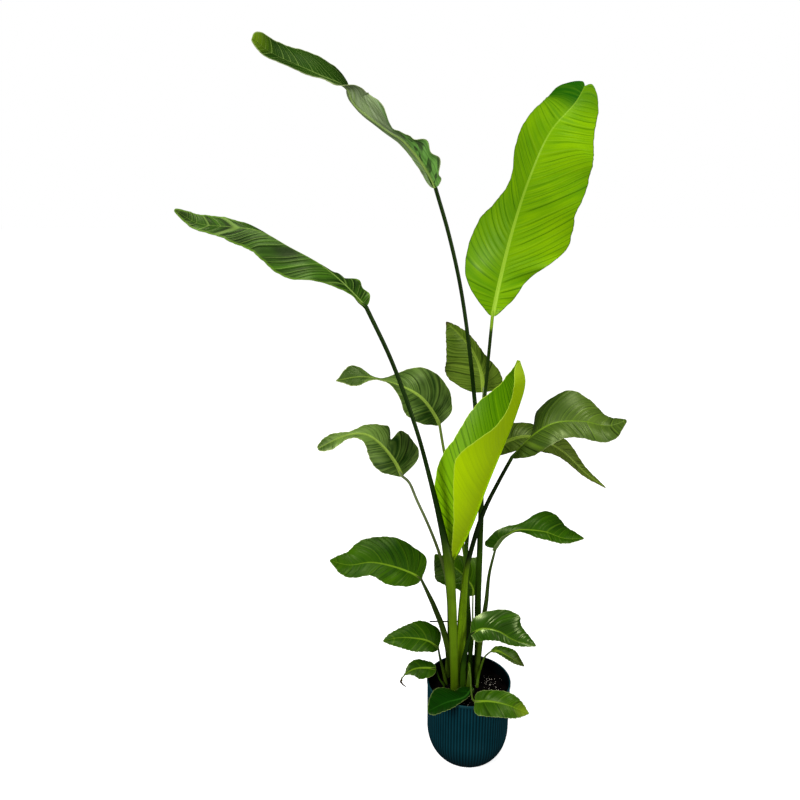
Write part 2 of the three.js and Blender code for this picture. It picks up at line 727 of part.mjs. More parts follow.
function support() {
  const { x, y, top, radius } = STAKE;
  const bottom = SOIL_TOP - PLANTING_DEPTH;
  const stake = solid(upright(x, y, radius, bottom, top, ROD_SIDES));
  const length = CROSSBAR.right - CROSSBAR.left;
  const bar = new THREE.CylinderGeometry(CROSSBAR.radius, CROSSBAR.radius, length, ROD_SIDES);
  bar.rotateZ(Math.PI / 2).translate((CROSSBAR.right + CROSSBAR.left) / 2, y, CROSSBAR.z);
  return fromSolid(stake.add(solid(bar)));
}

// A slim spindle that comes to a point above the soil
function shoot() {
  const { x, y, radius, height, pointed } = SHOOT;
  const points = [
    new THREE.Vector2(0, SOIL_TOP - PLANTING_DEPTH),
    new THREE.Vector2(radius, SOIL_TOP - PLANTING_DEPTH),
    new THREE.Vector2(radius, SOIL_TOP + height * pointed),
    new THREE.Vector2(radius * pointed, SOIL_TOP + height * (1 - pointed / 2)),
    new THREE.Vector2(0, SOIL_TOP + height),
  ];
  return turned(points, HOLE_SIDES).translate(x, y, 0);
}

const plant = new THREE.Group();

function place(name, geometry, look) {
  const mesh = new THREE.Mesh(geometry, look);
  mesh.name = name;
  plant.add(mesh);
}

place('pot', pot(), MATERIALS.pot);
place('soil', soil(), MATERIALS.soil);
place('support', support(), MATERIALS.support);
place('young_shoot', shoot(), MATERIALS.stalk);
LEAVES.forEach((leaf) => {
  const look = BRIGHT_LEAVES.includes(leaf.name) ? MATERIALS.bright : MATERIALS.blade;
  place(`${leaf.name}_stalk`, stalk(leaf), MATERIALS.stalk);
  place(`${leaf.name}_blade`, blade(leaf), look);
});

export default plant;
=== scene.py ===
import math

import bmesh
import bpy
import numpy as np
from mathutils import Matrix, Vector, noise


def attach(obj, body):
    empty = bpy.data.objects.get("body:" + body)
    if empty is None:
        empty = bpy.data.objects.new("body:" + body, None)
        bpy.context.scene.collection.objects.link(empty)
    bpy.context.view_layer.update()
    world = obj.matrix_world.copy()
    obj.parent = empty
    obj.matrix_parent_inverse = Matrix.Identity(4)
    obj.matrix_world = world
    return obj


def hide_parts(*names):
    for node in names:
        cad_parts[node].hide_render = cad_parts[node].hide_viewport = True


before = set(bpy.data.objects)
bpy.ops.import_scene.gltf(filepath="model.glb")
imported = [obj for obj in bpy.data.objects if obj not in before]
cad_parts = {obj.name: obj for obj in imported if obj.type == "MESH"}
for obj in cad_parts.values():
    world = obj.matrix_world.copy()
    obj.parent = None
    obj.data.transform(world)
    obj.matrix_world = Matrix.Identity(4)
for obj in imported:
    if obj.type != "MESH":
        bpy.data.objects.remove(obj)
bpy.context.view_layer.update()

# Sizes are in millimetres until a mesh is made, as in the part: +Z is up, -Y is the front, and
# the origin is the centre of the pot's flat foot.
MM = 0.001

# Angles in degrees from which an edge is shown as an edge
SHARP_EDGE = 50
SHARP_BLADE_EDGE = 60

# Camera at the photograph's viewing angle
CAMERA_PLACE = (-185, -1830, 1596)
CAMERA_PITCH = 17.5
CAMERA_LENS = 36
CAMERA_SENSOR = 36

# Studio: soft lights as place, size and power, and how bright the white air and floor are
LIGHTS = dict(
    key=dict(place=(-2500, -3000, 2800), size=1200, power=150),
    top=dict(place=(300, -900, 4300), size=1500, power=60),
    fill=dict(place=(2600, -2100, 1200), size=1800, power=45),
)
LIGHTS_AIM = (-100, 0, 950)
AIR_SEEN = 1.0
AIR_LIGHT = 0.3
AIR_MIRRORED = 0.04
FLOOR_SIZE = 30000
FLOOR_DROP = 0.4
FLOOR_GLOW = 0.75

# Pot
POT_HEIGHT = 230
RIM_RADIUS = 112.5
WALL_TOP_RADIUS = 111.2
WALL_RADIUS = 110
WALL = 3
LIP_WIDTH = 4
LIP_HEIGHT = 7
LIP_ROUND = 1.4
LIP_FOOT = dict(inset=0.5, rise=0.8)
LIP_PLACES = 5
# Heights in metres between which the wall's colour turns into the lip's
LIP_HEIGHTS = (0.222, 0.2245)
BOWL_TOP = 88.5
BOWL_WIDE = 64
BOWL_DEEP = 92.5
RIBS = 84
RIB_DEPTH = 1.2
RIB_SHARPNESS = 1.5
RIB_EASED_ROWS = 6
PLACES_PER_RIB = 8
BOWL_ROWS = 18
WALL_ROWS = 8
# Turned forms start this far from the axis, and a flat face closes them there
AXIS_RADIUS = 0.5

# Soil and what stands in it
SOIL_TOP = 200
SOIL_EDGE = 107.5
SOIL_DEPTH = 30
SOIL_ROUGHNESS = 3.5
SOIL_FLAT_SHARE = 0.85
SOIL_EDGE_DROP = 3
SOIL_GRID = dict(rings=60, places=180, innermost=0.01)
# Unevenness of the soil: each octave is so much finer than the last, and fades by that power
SOIL_NOISE = dict(scale=0.03, slice=1.7, fading=0.9, finer=2.1, octaves=5)
COLLAR = 8
FOOT_DEPTH = 8
CRUMBS = dict(count=850, smallest=1.2, largest=4.2, from_edge=4, squash=0.5, seed=12)
PERLITE = dict(smallest=0.8, largest=1.8, from_edge=6, squash=0.6, seed=13)
SPREAD_SEED = 11
LUMP_SUNK = 0.35
LUMP_UNEVEN = (0.75, 1.2)
LUMP_TURN = 6.28
PERLITE_PATCHES = (
    dict(x=62, y=38, spread=34, count=40),
    dict(x=58, y=2, spread=24, count=28),
    dict(x=-22, y=-52, spread=14, count=9),
    dict(x=-6, y=-62, spread=30, count=6),
)
SHOOT = dict(x=-2, y=-8, radius=6, height=66, pointed=0.4, end=1.08)
SHOOT_SEAM = dict(turns=0.8, inside=0.9, step=0.14)
SHOOT_GRID = dict(rings=60, sides=32)
STAKE = dict(x=1, y=86, top=450, radius=2.2)
CROSSBAR = dict(z=353, radius=2, left=-104, right=8)
ROD = dict(sides=20, rings=24, cap_rings=5, cap_turn=80)

# Leaf blades. Lengths along a rib that aren't in millimetres are shares of it.
BLADE_HALF_THICKNESS = 0.5
MIDRIB_HALF_WIDTH = 3
MIDRIB_WIDEST_SHARE = 0.2
MIDRIB_TIP_SHARE = 0.2
MIDRIB_GROOVE = 0.9
MIDRIB_GROOVE_FADE = 0.6
MIDRIB_FINE = 1.25
BASE_HALF_WIDTH = 3
TIP_HALF_WIDTH = 1
ROUNDED_BASE = 0.12
POINTED_TIP = 0.15
BASE_LOBE = 0.3
SPLIT_START = 0.85
VEIN_BEND = 1.6
EASED_STEPS = 0.45
MIN_CURL = 0.001
CALM = ((0, 1, 0), (0, 1, 0))
MARGIN_WOBBLE = 1.1
MARGIN_WAVES = ((11, 0.5), (23, 0.35), (47, 0.15))
MARGIN_STARTS = dict(left=3, right=5, next_leaf=7)
MARGIN_EASE = 0.1
WAVE_NARROWING = 1.5
FRILL_EASE = 0.05
VEIN_LEAN = 0.55
LEAN_BEND = 1.05
LEAN_FULL = (0.25, 0.5)
CREASE_SPACING = 17
CREASE_HEIGHT = 1.5
CREASE_DROP = 0.8
CREASE_STEP = 0.1
# Creases rise over these millimetres from the rib, weaken from this share of the half width
# to this share of their height at the margin, and fade over these shares of the rib at its ends
CREASES_FROM_RIB = (2, 16)
CREASES_WEAKEN_FROM = 0.6
CREASES_AT_MARGIN = 0.4
CREASES_FADE = (0.05, 0.08)
CROWN = 0.07
CROWN_EASE = 0.2
VEINS_PER_CREASE = 6
BASE_CREASES = dict(count=3.5, reach=0.05)
# Waves in the spacing of the creases: how many along the rib, and how large
SPACING_WAVES = ((3.1, 0.5), (7.3, 0.3))

# Colour of the light that leaf skin throws back
LEAF_GLOSS = (0.85, 1.0, 0.45)

# Leaf stalks
STALK_SIDES = 20
STALK_CHANNEL = dict(depth=0.22, width=0.5)
# The stalk runs on below the blade as the midrib, over this length. It thins there to a share
# of its radius, and lies sunk by a share of it, fully once it has thinned to sunk_until.
RIB_RUN = dict(length=45, rings=14, thinnest=0.1, sunk=0.9, sunk_until=0.5)

# Fine grid of each size of leaf: rows along the rib, places across each half, stalk rings
GRIDS = dict(
    large=dict(along=190, across=30, stalk=110),
    middle=dict(along=130, across=24, stalk=90),
    small=dict(along=90, across=18, stalk=50),
)
RIB_PLACES = 5


def colour(red, green, blue):
    """A colour as it looks on a screen, each part from 0 to 255."""
    parts = (part / 255 for part in (red, green, blue))
    return (*(((p + 0.055) / 1.055) ** 2.4 if p > 0.04 else p / 12.92 for p in parts), 1)


# Tones of the blades. upper and under are the darker and the lighter colour of each side, and
# parted says how sharply they part. lobe is the colour of the underside near the base, mostly
# on the left half, and low a lighter colour for the upper side there, painted light where shade
# falls, with the shares of the rib between which it fades. rib_width is half the width of the
# coloured midrib at the base, and how much it narrows. creased says how much painted shade
# darkens the creases on the upper side and on the underside, crease_width how much of their
# spacing is dark, lined how much the crests beside them turn to the rib's colour, and veined how
# much the fine veins do. relief is how strong the fine veins stand out. hollow_shade says how
# dark the painted shade in the hollows of the lobe is, and grained how dark the lines along the
# underside are. edge is how far in from the margin its colour reaches. gloss is how much the
# skin mirrors, and rough its roughness where it is dark and where it is light. aged
# is the colour that a blade turns to towards its tip: the yellow of age on most tones, painted
# shade on the fresh tone, whose tips bend back away from the light, and a darker green on the
# satin and sheen tones. left_shade is how much painted shade darkens the left half.
DEEP = dict(
    upper=(colour(8, 46, 0), colour(44, 84, 2)),
    under=(colour(84, 112, 48), colour(122, 144, 88)),
    lobe=colour(84, 112, 48), parted=(0.32, 0.82),
    rib=colour(116, 150, 30), rib_width=(2.9, 2.3),
    crease=colour(2, 24, 0), creased=(0.7, 0.5), crease_width=0.14, lined=0.2, veined=0.06,
    relief=0.15, low=None, hollow_shade=0.0, grained=0.0,
    margin=colour(116, 134, 70), edge=0.9, gloss=0.18, rough=(0.42, 0.28),
    aged=colour(140, 158, 28), left_shade=0.0,
)
BLADE_TONES = dict(
    deep=DEEP,
    satin=DEEP | dict(
        upper=(colour(0, 28, 0), colour(52, 92, 12)),
        parted=(0.4, 0.74), rib=colour(122, 152, 66),
        creased=(0.9, 0.5), crease_width=0.25, lined=0.5, veined=0.05,
        relief=0.04, margin=colour(88, 124, 26), edge=5.0, gloss=0.3, rough=(0.5, 0.38),
        aged=colour(20, 44, 0),
    ),
    grass=DEEP | dict(upper=(colour(14, 54, 0), colour(56, 94, 2))),
    polished=DEEP | dict(
        upper=(colour(4, 40, 0), colour(48, 90, 4)),
        creased=(0.85, 0.5), lined=0.12, relief=0.05, gloss=0.8, rough=(0.34, 0.22),
    ),
    moss=DEEP | dict(
        upper=(colour(36, 62, 10), colour(78, 100, 32)),
        creased=(0.85, 0.5), crease_width=0.2, lined=0.35, margin=colour(110, 120, 70), gloss=0.3,
    ),
    shade=DEEP | dict(
        upper=(colour(2, 36, 0), colour(12, 58, 2)),
        under=(colour(60, 96, 34), colour(90, 120, 62)),
        rib=colour(40, 96, 20), crease=colour(2, 20, 0), lined=0.15, gloss=0.16,
    ),
    dusk=DEEP | dict(
        upper=(colour(0, 30, 0), colour(24, 58, 0)),
        under=(colour(100, 122, 70), colour(150, 164, 130)), lobe=colour(96, 152, 58),
        rib=colour(124, 150, 72), crease=colour(2, 26, 0), creased=(0.5, 0.8), lined=0.5,
        # Painted shade in the hollows of the lobe near the base.
        veined=0.14, relief=0.02, hollow_shade=0.8, grained=0.35,
        # The wide pale margin is partly the margin's own colour and partly painted sheen.
        margin=colour(144, 158, 104), edge=2.0, gloss=0.03, aged=colour(104, 134, 16),
    ),
    sheen=DEEP | dict(
        # The lighter upper colour is partly the skin's own paler green and partly painted sheen, in
        # bands.
        upper=(colour(8, 46, 0), colour(102, 132, 54)),
        under=(colour(88, 108, 56), colour(118, 140, 84)),
        parted=(0.38, 0.74), rib=colour(150, 178, 66), rib_width=(5.0, 3.8),
        crease=colour(6, 34, 0), crease_width=0.2, relief=0.03, rough=(0.48, 0.36),
        margin=colour(156, 168, 104), edge=1.4, gloss=0.4, aged=colour(22, 52, 0),
    ),
    olive=DEEP | dict(
        upper=(colour(50, 78, 4), colour(94, 118, 34)),
        under=(colour(84, 108, 48), colour(116, 138, 80)),
        parted=(0.38, 0.74), rib=colour(142, 170, 54), rib_width=(5.6, 4.0),
        crease=colour(18, 42, 2), creased=(0.85, 0.5), crease_width=0.2, lined=0.3,
        margin=colour(92, 88, 46), gloss=0.3,
    ),
    fresh=DEEP | dict(
        upper=(colour(80, 130, 0), colour(116, 158, 0)),
        under=(colour(96, 140, 10), colour(124, 164, 40)),
        rib=colour(140, 176, 46), rib_width=(4.8, 4.1),
        crease=colour(34, 84, 0), creased=(0.8, 0.5), crease_width=0.22, lined=0.2,
        # Tip colour and left_shade here are painted shade: the bent-back tips and the left half darker.
        margin=colour(62, 76, 16), edge=1.8, gloss=0.1, aged=colour(14, 74, 0), left_shade=0.28,
    ),
    lime=DEEP | dict(
        upper=(colour(56, 104, 0), colour(80, 128, 0)),
        under=(colour(154, 188, 0), colour(164, 196, 0)),
        lobe=colour(154, 188, 0), rib=colour(132, 172, 4),
        crease=colour(24, 70, 0), creased=(0.9, 0.16), crease_width=0.34, lined=0.3,
        # Painted light, lifting the upper side near the base where shade falls.
        low=(colour(116, 166, 0), 0.15, 0.6),
        margin=colour(176, 204, 60), edge=1.4, gloss=0.12, aged=colour(170, 202, 40),
    ),
)
BROWNED = colour(62, 48, 24)

# Tones of the stalks: by the blade, along the middle and down in the sheath, with the shares
# between which the first turns into the second, and the second into the third
STALK_TONES = dict(
    dark=(colour(50, 84, 8), colour(16, 42, 4), colour(48, 84, 2), (0.0, 0.035), (0.42, 0.75)),
    broad=(colour(50, 84, 8), colour(16, 42, 4), colour(94, 128, 8), (0.0, 0.035), (0.55, 0.68)),
    lit=(colour(120, 156, 28), colour(34, 58, 12), colour(48, 84, 2), (0.06, 0.075), (0.42, 0.75)),
    sheathed=(colour(60, 92, 20), colour(22, 42, 12), colour(116, 156, 6), (0.03, 0.1), (0.44, 0.53)),
    olive=(colour(116, 130, 84), colour(80, 96, 46), colour(70, 104, 6), (0.1, 0.4), (0.5, 0.8)),
    plain=(colour(72, 88, 40), colour(46, 66, 18), colour(70, 98, 14), (0.05, 0.2), (0.4, 0.75)),
    pale=(colour(124, 150, 56), colour(74, 102, 22), colour(76, 112, 6), (0.08, 0.25), (0.4, 0.75)),
    bright=(colour(140, 178, 2), colour(74, 112, 2), colour(96, 128, 6), (0.03, 0.1), (0.2, 0.6)),
)
# Heights in metres between which the crowded stalks come out of the shade
SHADED_HEIGHTS = (0.2, 0.34)

# Each leaf's rib runs from the blade's base to its tip. The face is the way that the blade's
# upper side looks, along the rib. left and right are the half widths at even steps along it.
# fold gives how far the two halves rise from flat, and curl how much more they rise by the
# margin, in degrees, left then right. waves are the height, number and phase of the waves of
# each half. sweep slants the veins back at the base and forward over the rest. rounded is the
# share of the rib over which the base widens, tip the half width at the tip, and split how far
# the two lobes of a notched tip stand out past the rib. Nicks are places, depths and widths in
# the margin, and frills are where they start and end, their height and how many. The stalk runs
# down from the blade's base, and its radii are at even steps from the blade to the soil.
# lean is how much further forward the veins lean than the part's own rows, crown how far each
# half bulges up, as a share of its width, and crease_height and crease_spacing are in
# millimetres. aged and brown give where along the rib the change of colour starts,
# where it is full, and how full it is on the left half and on the right.
LEAVES = []
LEFT_DOWN = [(-10, 0), (-10, 10), (0, 10)]
RIGHT_DOWN = [(10, -10), (10, -10), (0, 0)]


def leaf(**values):
    """Adds the next leaf, named by its place in the list."""
    LEAVES.append(dict(name=f"leaf_{len(LEAVES) + 1:02}", **values))


leaf(
    rib=[(-105, 40, 1510), (-126, 38, 1550), (-176, 34, 1610), (-210, 28, 1631), (-284, 20, 1686),
         (-300, 10, 1718), (-360, -10, 1745), (-456, -25, 1786), (-489, -40, 1811)],
    face=[(0.8, 0.3, 0.5), (0.65, 0.35, 0.7), (0.6, 0.42, 0.7), (0.5, 0.3, 0.8), (0.3, -0.5, 0.75),
          (0.2, -0.7, 0.7), (0.2, -0.75, 0.6)],
    left=(35, 44, 46, 28, 48, 43, 38, 22, 7, 17, 32, 37, 31),
    right=(28, 25, 35, 44, 49, 46, 46, 36, 43),
    fold=[(23, -22), (25, -7), (-2, 13), (64, 16), (-23, 14), (23, 4), (21, 2)],
    sweep=(-0.1, 0.35),
    left_frills=[(0.0, 0.24, 8, 3.2)], left_nicks=[(0.3, 14, 0.02), (0.45, 4, 0.025)],
    stalk=[(-72, 45, 1404), (-41, 50, 1276), (-10, 57, 1079), (23, 62, 754), (25, 60, 589),
           (24, 55, 439), (28, 50, 287)],
    foot=(26, 46), radii=(4.5, 5, 7.5, 10), size="large",
    tone="dusk", stalk_tone="dark", lean=1.8, crease_height=0.9, aged=(0.88, 1.03, 0.8, 0.8),
)
leaf(
    rib=[(-262, -30, 1250), (-315, -40, 1309), (-362, -48, 1350), (-426, -55, 1388), (-491, -60, 1423),
         (-554, -70, 1433), (-618, -80, 1441), (-664, -90, 1470)],
    face=[(0.3, -0.3, 0.9), (0.2, -0.3, 0.9), (0.1, -0.5, 0.85)],
    left=(3, 24, 66, 60, 42, 22, 12), right=(45, 45, 45, 42, 20, 24, 14),
    fold=[(10, 30), (-25, -25), (-40, -50), (-25, 25), (0, 25)],
    waves=((4, 4, 0), (3, 3, 0)), sweep=(-0.1, 0.35),
    right_frills=[(0.0, 0.2, 6, 2.4)],
    stalk=[(-204, -30, 1122), (-146, -34, 956), (-118, -38, 854), (-87, -54, 729), (-66, -62, 624),
           (-54, -54, 506), (-48, -43, 411), (-43, -27, 310)],
    foot=(-38, -10), radii=(5, 5, 5, 5, 5.3, 6.5, 8.8, 12.5, 11.3, 10.7, 10.5, 11), size="large",
    tone="satin", stalk_tone="broad", lean=1.0, crease_spacing=22, aged=(0.9, 0.96, 0.8, 0.8),
)
leaf(
    rib=[(32, 20, 1219), (50, 35, 1309), (75, 30, 1428), (106, 10, 1543), (143, 10, 1629),
         (201, 40, 1692), (226, 75, 1727)],
    face=[(-0.1, -1, 0.15), (-0.1, -1, 0.1), (-0.1, -0.8, 0.6)],
    left=(30, 78, 96, 91, 64, 52, 72, 75, 75, 77, 86),
    right=(24, 48, 68, 127, 131, 124, 128, 122, 114, 101, 73, 51, 40),
    fold=[(10, 5), (-40, 0), (-15, -15)],
    waves=((4, 3, 0), (5, 4, 0.3)), sweep=(-0.1, 0.35), rounded=0.2, tip=24, split=14,
    right_frills=[(0.0, 0.28, 5, 3)],
    stalk=[(28, 32, 1129), (25, 44, 1046), (16, 50, 898), (-6, 48, 682), (-12, 42, 593), (-4, 45, 445),
           (5, 42, 324)],
    foot=(8, 40), radii=(4, 4.5, 5.5, 7), size="large",
    # Its darker tip lobes are painted shade, where they bend back away from the light.
    tone="fresh", stalk_tone="lit", crown=0.03, crease_height=1.1, aged=(0.83, 0.92, 1, 0.45),
)
leaf(
    rib=[(-53, -45, 620), (-18, -50, 696), (25, -60, 832), (55, -60, 917), (87, -60, 1011),
         (102, -60, 1083), (88, -60, 1132)],
    face=[(-0.9, -0.2, 0.3), (-0.9, -0.2, 0.3)],
    left=(19, 76, 124, 139, 132, 128, 117, 90, 69, 26),
    right=(16, 47, 72, 96, 118, 100, 71, 60, 75, 92),
    fold=[(49, 51), (19, 52), (1, 25)], curl=[(45, 45), (40, 45), (30, 30)],
    waves=((3, 2, 0), (3, 2, 0.3)), sweep=(0, 0.3), tip=9,
    stalk=[(-57, -30, 552), (-53, -20, 487), (-47, -10, 421), (-42, 2, 354)],
    foot=(-37, 16), radii=(6, 7, 7, 7), size="large",
    tone="lime", stalk_tone="bright", crown=0, crease_height=0.4, crease_spacing=15,
    aged=(0.9, 1, 0.8, 0.8),
)
leaf(
    rib=[(29, 130, 999), (21, 130, 1053), (-1, 130, 1107), (-32, 130, 1146), (-70, 130, 1182)],
    face=[(-0.2, -1, 0.2), (-0.1, -1, 0.2), (0.3, -1, 0.2)],
    left=(60, 86, 78, 46, 6), right=(66, 46, 28, 18, 6),
    fold=[(10, 0), (0, 40), (0, 20)],
    waves=((2, 2, 0), (3, 2, 0.3)), sweep=(0, 0.2), rounded=0.2,
    stalk=[(24, 128, 869), (29, 122, 701), (32, 114, 557), (30, 106, 408), (31, 97, 286)],
    foot=(27, 90), radii=(3, 3.5, 4, 5), size="middle",
    tone="olive", stalk_tone="olive", brown=(0.93, 1, 0.9, 0.9),
)
leaf(
    rib=[(-86, 60, 935), (-96, 60, 956), (-131, 55, 1006), (-168, 50, 1032), (-229, 40, 1057),
         (-282, 30, 1068), (-339, 20, 1061)],
    face=[(0.2, -0.6, 0.8), (0.1, -0.6, 0.8), (0.1, -0.6, 0.8), (0.1, -0.1, 0.9), (0.1, 0.2, 0.9),
          (0, -0.6, 0.8), (0, -0.6, 0.8)],
    left=(20, 56, 60, 42, 14, 24, 5), right=(62, 82, 72, 42, 16, 32, 5),
    fold=LEFT_DOWN,
    waves=((4, 2, 0), (4, 2, 0.3)), sweep=(0, 0.3),
    stalk=[(-72, 64, 856), (-42, 72, 724), (-20, 78, 603), (-11, 80, 546), (-7, 78, 425),
           (-7, 72, 303)],
    foot=(-14, 64), radii=(3.5, 4, 5, 6), size="middle",
    tone="sheen", stalk_tone="pale", aged=(0.68, 0.76, 0.8, 0.8),
)
leaf(
    rib=[(-180, 40, 805), (-198, 40, 843), (-240, 35, 899), (-274, 30, 921), (-320, 20, 920),
         (-387, 10, 890)],
    face=[(0.2, -0.6, 0.8), (0.1, -0.6, 0.8), (0.1, -0.5, 0.8), (0.1, -0.4, 0.9), (0, -0.6, 0.8)],
    left=(14, 48, 46, 28, 12, 20, 16), right=(76, 78, 54, 32, 10, 20, 16),
    fold=LEFT_DOWN,
    waves=((4, 2, 0), (5, 2.5, 0.3)), sweep=(0, 0.3),
    right_nicks=[(0.3, 30, 0.03)],
    stalk=[(-163, 42, 788), (-142, 44, 737), (-111, 48, 663), (-84, 53, 587), (-64, 58, 513),
           (-54, 62, 435), (-48, 66, 308)],
    foot=(-40, 68), radii=(3.5, 4, 5.5, 7), size="large",
    tone="sheen", stalk_tone="olive", aged=(0.8, 0.92, 0.5, 0.5),
)
leaf(
    rib=[(93, 20, 864), (106, 15, 888), (145, 0, 935), (187, -15, 966), (249, -30, 975),
         (308, -40, 967), (348, -50, 984)],
    face=[(-0.3, -0.5, 0.8), (0, -0.5, 0.85), (0, -0.3, 0.9)],
    left=(50, 50, 58, 82, 58, 32, 12), right=(16, 42, 48, 42, 46, 44, 16),
    fold=[(-80, -15), (-75, -20), (0, -20), (15, -20), (15, -20), (10, -10), (0, -10)],
    waves=((4, 2, 0), (4, 3, 0.3)), sweep=(-0.1, 0.3),
    stalk=[(64, 18, 804), (29, 12, 727), (6, 8, 651), (-15, 4, 553), (-19, 4, 494), (-22, 6, 406),
           (-22, 8, 325)],
    foot=(-16, 10), radii=(4.5, 5, 6, 6.5, 9.5, 11.5, 10.5, 10), size="middle",
    tone="moss", stalk_tone="sheathed",
)
leaf(
    rib=[(51, 90, 851), (93, 90, 881), (147, 90, 892), (226, 90, 856), (296, 85, 792), (348, 80, 755)],
    face=[(0, -0.5, 0.85), (0.2, -0.5, 0.85), (0.5, -0.4, 0.7)],
    left=(36, 46, 40, 38, 24, 15, 5), right=(26, 36, 42, 28, 17, 12, 4),
    fold=[(0, 0), (10, 0), (10, 0)],
    waves=((3, 2, 0), (3, 2, 0.3)), sweep=(-0.2, 0.35),
    stalk=[(38, 90, 801), (27, 90, 716), (29, 86, 572), (28, 80, 424), (29, 74, 302)],
    foot=(27, 70), radii=(3, 3.5, 4, 5), size="middle",
    tone="olive", stalk_tone="olive", brown=(0.3, 0.5, 0.2, 0.2),
)
leaf(
    rib=[(58, 0, 621), (78, -5, 655), (107, -10, 677), (131, -15, 682), (178, -20, 679),
         (228, -25, 663), (274, -30, 666)],
    face=[(-0.2, -0.5, 0.8), (0, -0.5, 0.85), (0, -0.3, 0.9)],
    left=(40, 26, 18, 58, 56, 34, 8), right=(20, 22, 14, 22, 20, 14, 6),
    fold=[(30, 50), (20, 50), (10, 0), (0, 0), (0, 0)],
    curl=[(10, 50), (10, 40), (0, 0), (0, 0), (0, 0)],
    waves=((2, 2, 0), (2, 2, 0.3)), sweep=(-0.8, 0.35),
    stalk=[(46, 10, 543), (42, 20, 455), (37, 27, 396), (29, 28, 310)],
    foot=(24, 24), radii=(3, 4.5, 6.5, 8, 7.5), size="middle",
    tone="deep", stalk_tone="plain",
)
leaf(
    rib=[(-130, 20, 523), (-151, 20, 538), (-208, 15, 564), (-260, 10, 577), (-316, 0, 575),
         (-364, -10, 593)],
    face=[(0.2, -0.6, 0.8), (0.1, -0.6, 0.8), (0, -0.4, 0.9)],
    left=(25, 48, 36, 34, 8), right=(60, 76, 64, 38, 8),
    fold=LEFT_DOWN,
    waves=((4, 2, 0), (3, 3, 0.3)), sweep=(-0.15, 0.35),
    stalk=[(-99, 24, 450), (-90, 31, 423), (-73, 37, 373), (-52, 44, 281)],
    foot=(-54, 51), radii=(3.5, 6.5, 8, 9, 9), size="middle",
    tone="grass", stalk_tone="plain",
)
leaf(
    rib=[(19, 140, 400), (18, 140, 425), (-12, 138, 470), (-40, 135, 497), (-90, 130, 535)],
    face=[(0.1, -1, 0.2), (0.1, -1, 0.3), (0.1, -1, 0.4)],
    left=(20, 31, 41, 53, 58, 58, 34, 10), right=(8, 31, 66, 49, 38, 27, 10, 6),
    fold=[(8, -18), (22, 18)],
    sweep=(-0.1, 0.35),
    stalk=[(19, 130, 345), (20, 115, 274)],
    foot=(12, 93), radii=(2, 3.5), size="small",
    tone="grass", stalk_tone="pale",
)
leaf(
    rib=[(-83, 10, 321), (-111, 5, 346), (-149, 0, 358), (-196, -10, 365), (-229, -20, 362)],
    face=[(0.2, -0.5, 0.85), (0.1, -0.5, 0.85), (0, -0.4, 0.9)],
    left=(14, 32, 34, 24, 6), right=(42, 50, 36, 20, 6),
    fold=LEFT_DOWN,
    waves=((2, 2, 0), (2, 2, 0.3)), sweep=(-0.2, 0.35),
    stalk=[(-76, 12, 282), (-66, 14, 239)],
    foot=(-60, 16), radii=(2.5, 5), size="small",
    tone="deep", stalk_tone="plain",
)
leaf(
    rib=[(-88, 10, 255), (-115, 5, 262), (-147, 0, 262), (-173, -5, 247), (-183, -5, 225),
         (-169, -5, 209)],
    face=[(0.2, -0.5, 0.85), (0.1, -0.5, 0.85), (0, -0.4, 0.9)],
    left=(15, 26, 28, 14, 2, 4, 1), right=(14, 20, 24, 16, 1, 2, 1),
    fold=LEFT_DOWN,
    waves=((2, 2, 0), (2, 2, 0.3)), sweep=(-0.1, 0.2),
    stalk=[(-78, 8, 225)],
    foot=(-66, 4), radii=(2, 2.5), size="small",
    tone="deep", stalk_tone="dark", brown=(0.64, 0.8, 1, 1),
)
leaf(
    rib=[(1, -15, 381), (30, -20, 400), (70, -28, 398), (111, -35, 376), (167, -45, 365)],
    face=[(-0.2, -0.8, 0.6), (0, -0.8, 0.6), (0, -0.5, 0.85)],
    left=(8, 46, 62, 36, 8), right=(30, 30, 22, 12, 4),
    fold=RIGHT_DOWN,
    waves=((2, 2, 0), (2, 2, 0.3)), sweep=(-0.2, 0.15),
    stalk=[(-6, -15, 360), (-11, -15, 332), (-17, -13, 284)],
    foot=(-17, -10), radii=(3, 6, 8.5, 8), size="small",
    tone="polished", stalk_tone="dark", crease_height=2.4,
)
leaf(
    rib=[(60, 20, 304), (79, 20, 304), (109, 20, 286), (151, 20, 257)],
    face=[(-0.2, -0.5, 0.85), (0, -0.5, 0.85), (0, -0.4, 0.9)],
    left=(6, 18, 24, 18, 4), right=(3, 8, 10, 8, 3),
    fold=RIGHT_DOWN,
    waves=((2, 2, 0), (2, 2, 0.3)), sweep=(-0.1, 0.3),
    stalk=[(44, 20, 286), (34, 17, 256), (27, 13, 227)],
    foot=(24, 4), radii=(2, 4), size="small",
    tone="deep", stalk_tone="pale", brown=(0.1, 1, 0.4, 0.4),
)
leaf(
    rib=[(5, -22, 219), (6, -32, 229), (-18, -83, 238), (-68, -123, 252), (-116, -168, 262)],
    face=[(0.2, -0.4, 0.7), (0.2, -0.67, 0.7)],
    left=(5, 7, 8, 18, 17, 15), right=(31, 36, 42, 45, 30, 9),
    fold=[(1, -40), (-2, -30), (-12, 3)],
    sweep=(0, 0.3),
    stalk=[],
    foot=(11, -14), radii=(2.5, 4), size="small",
    tone="shade", stalk_tone="dark",
)
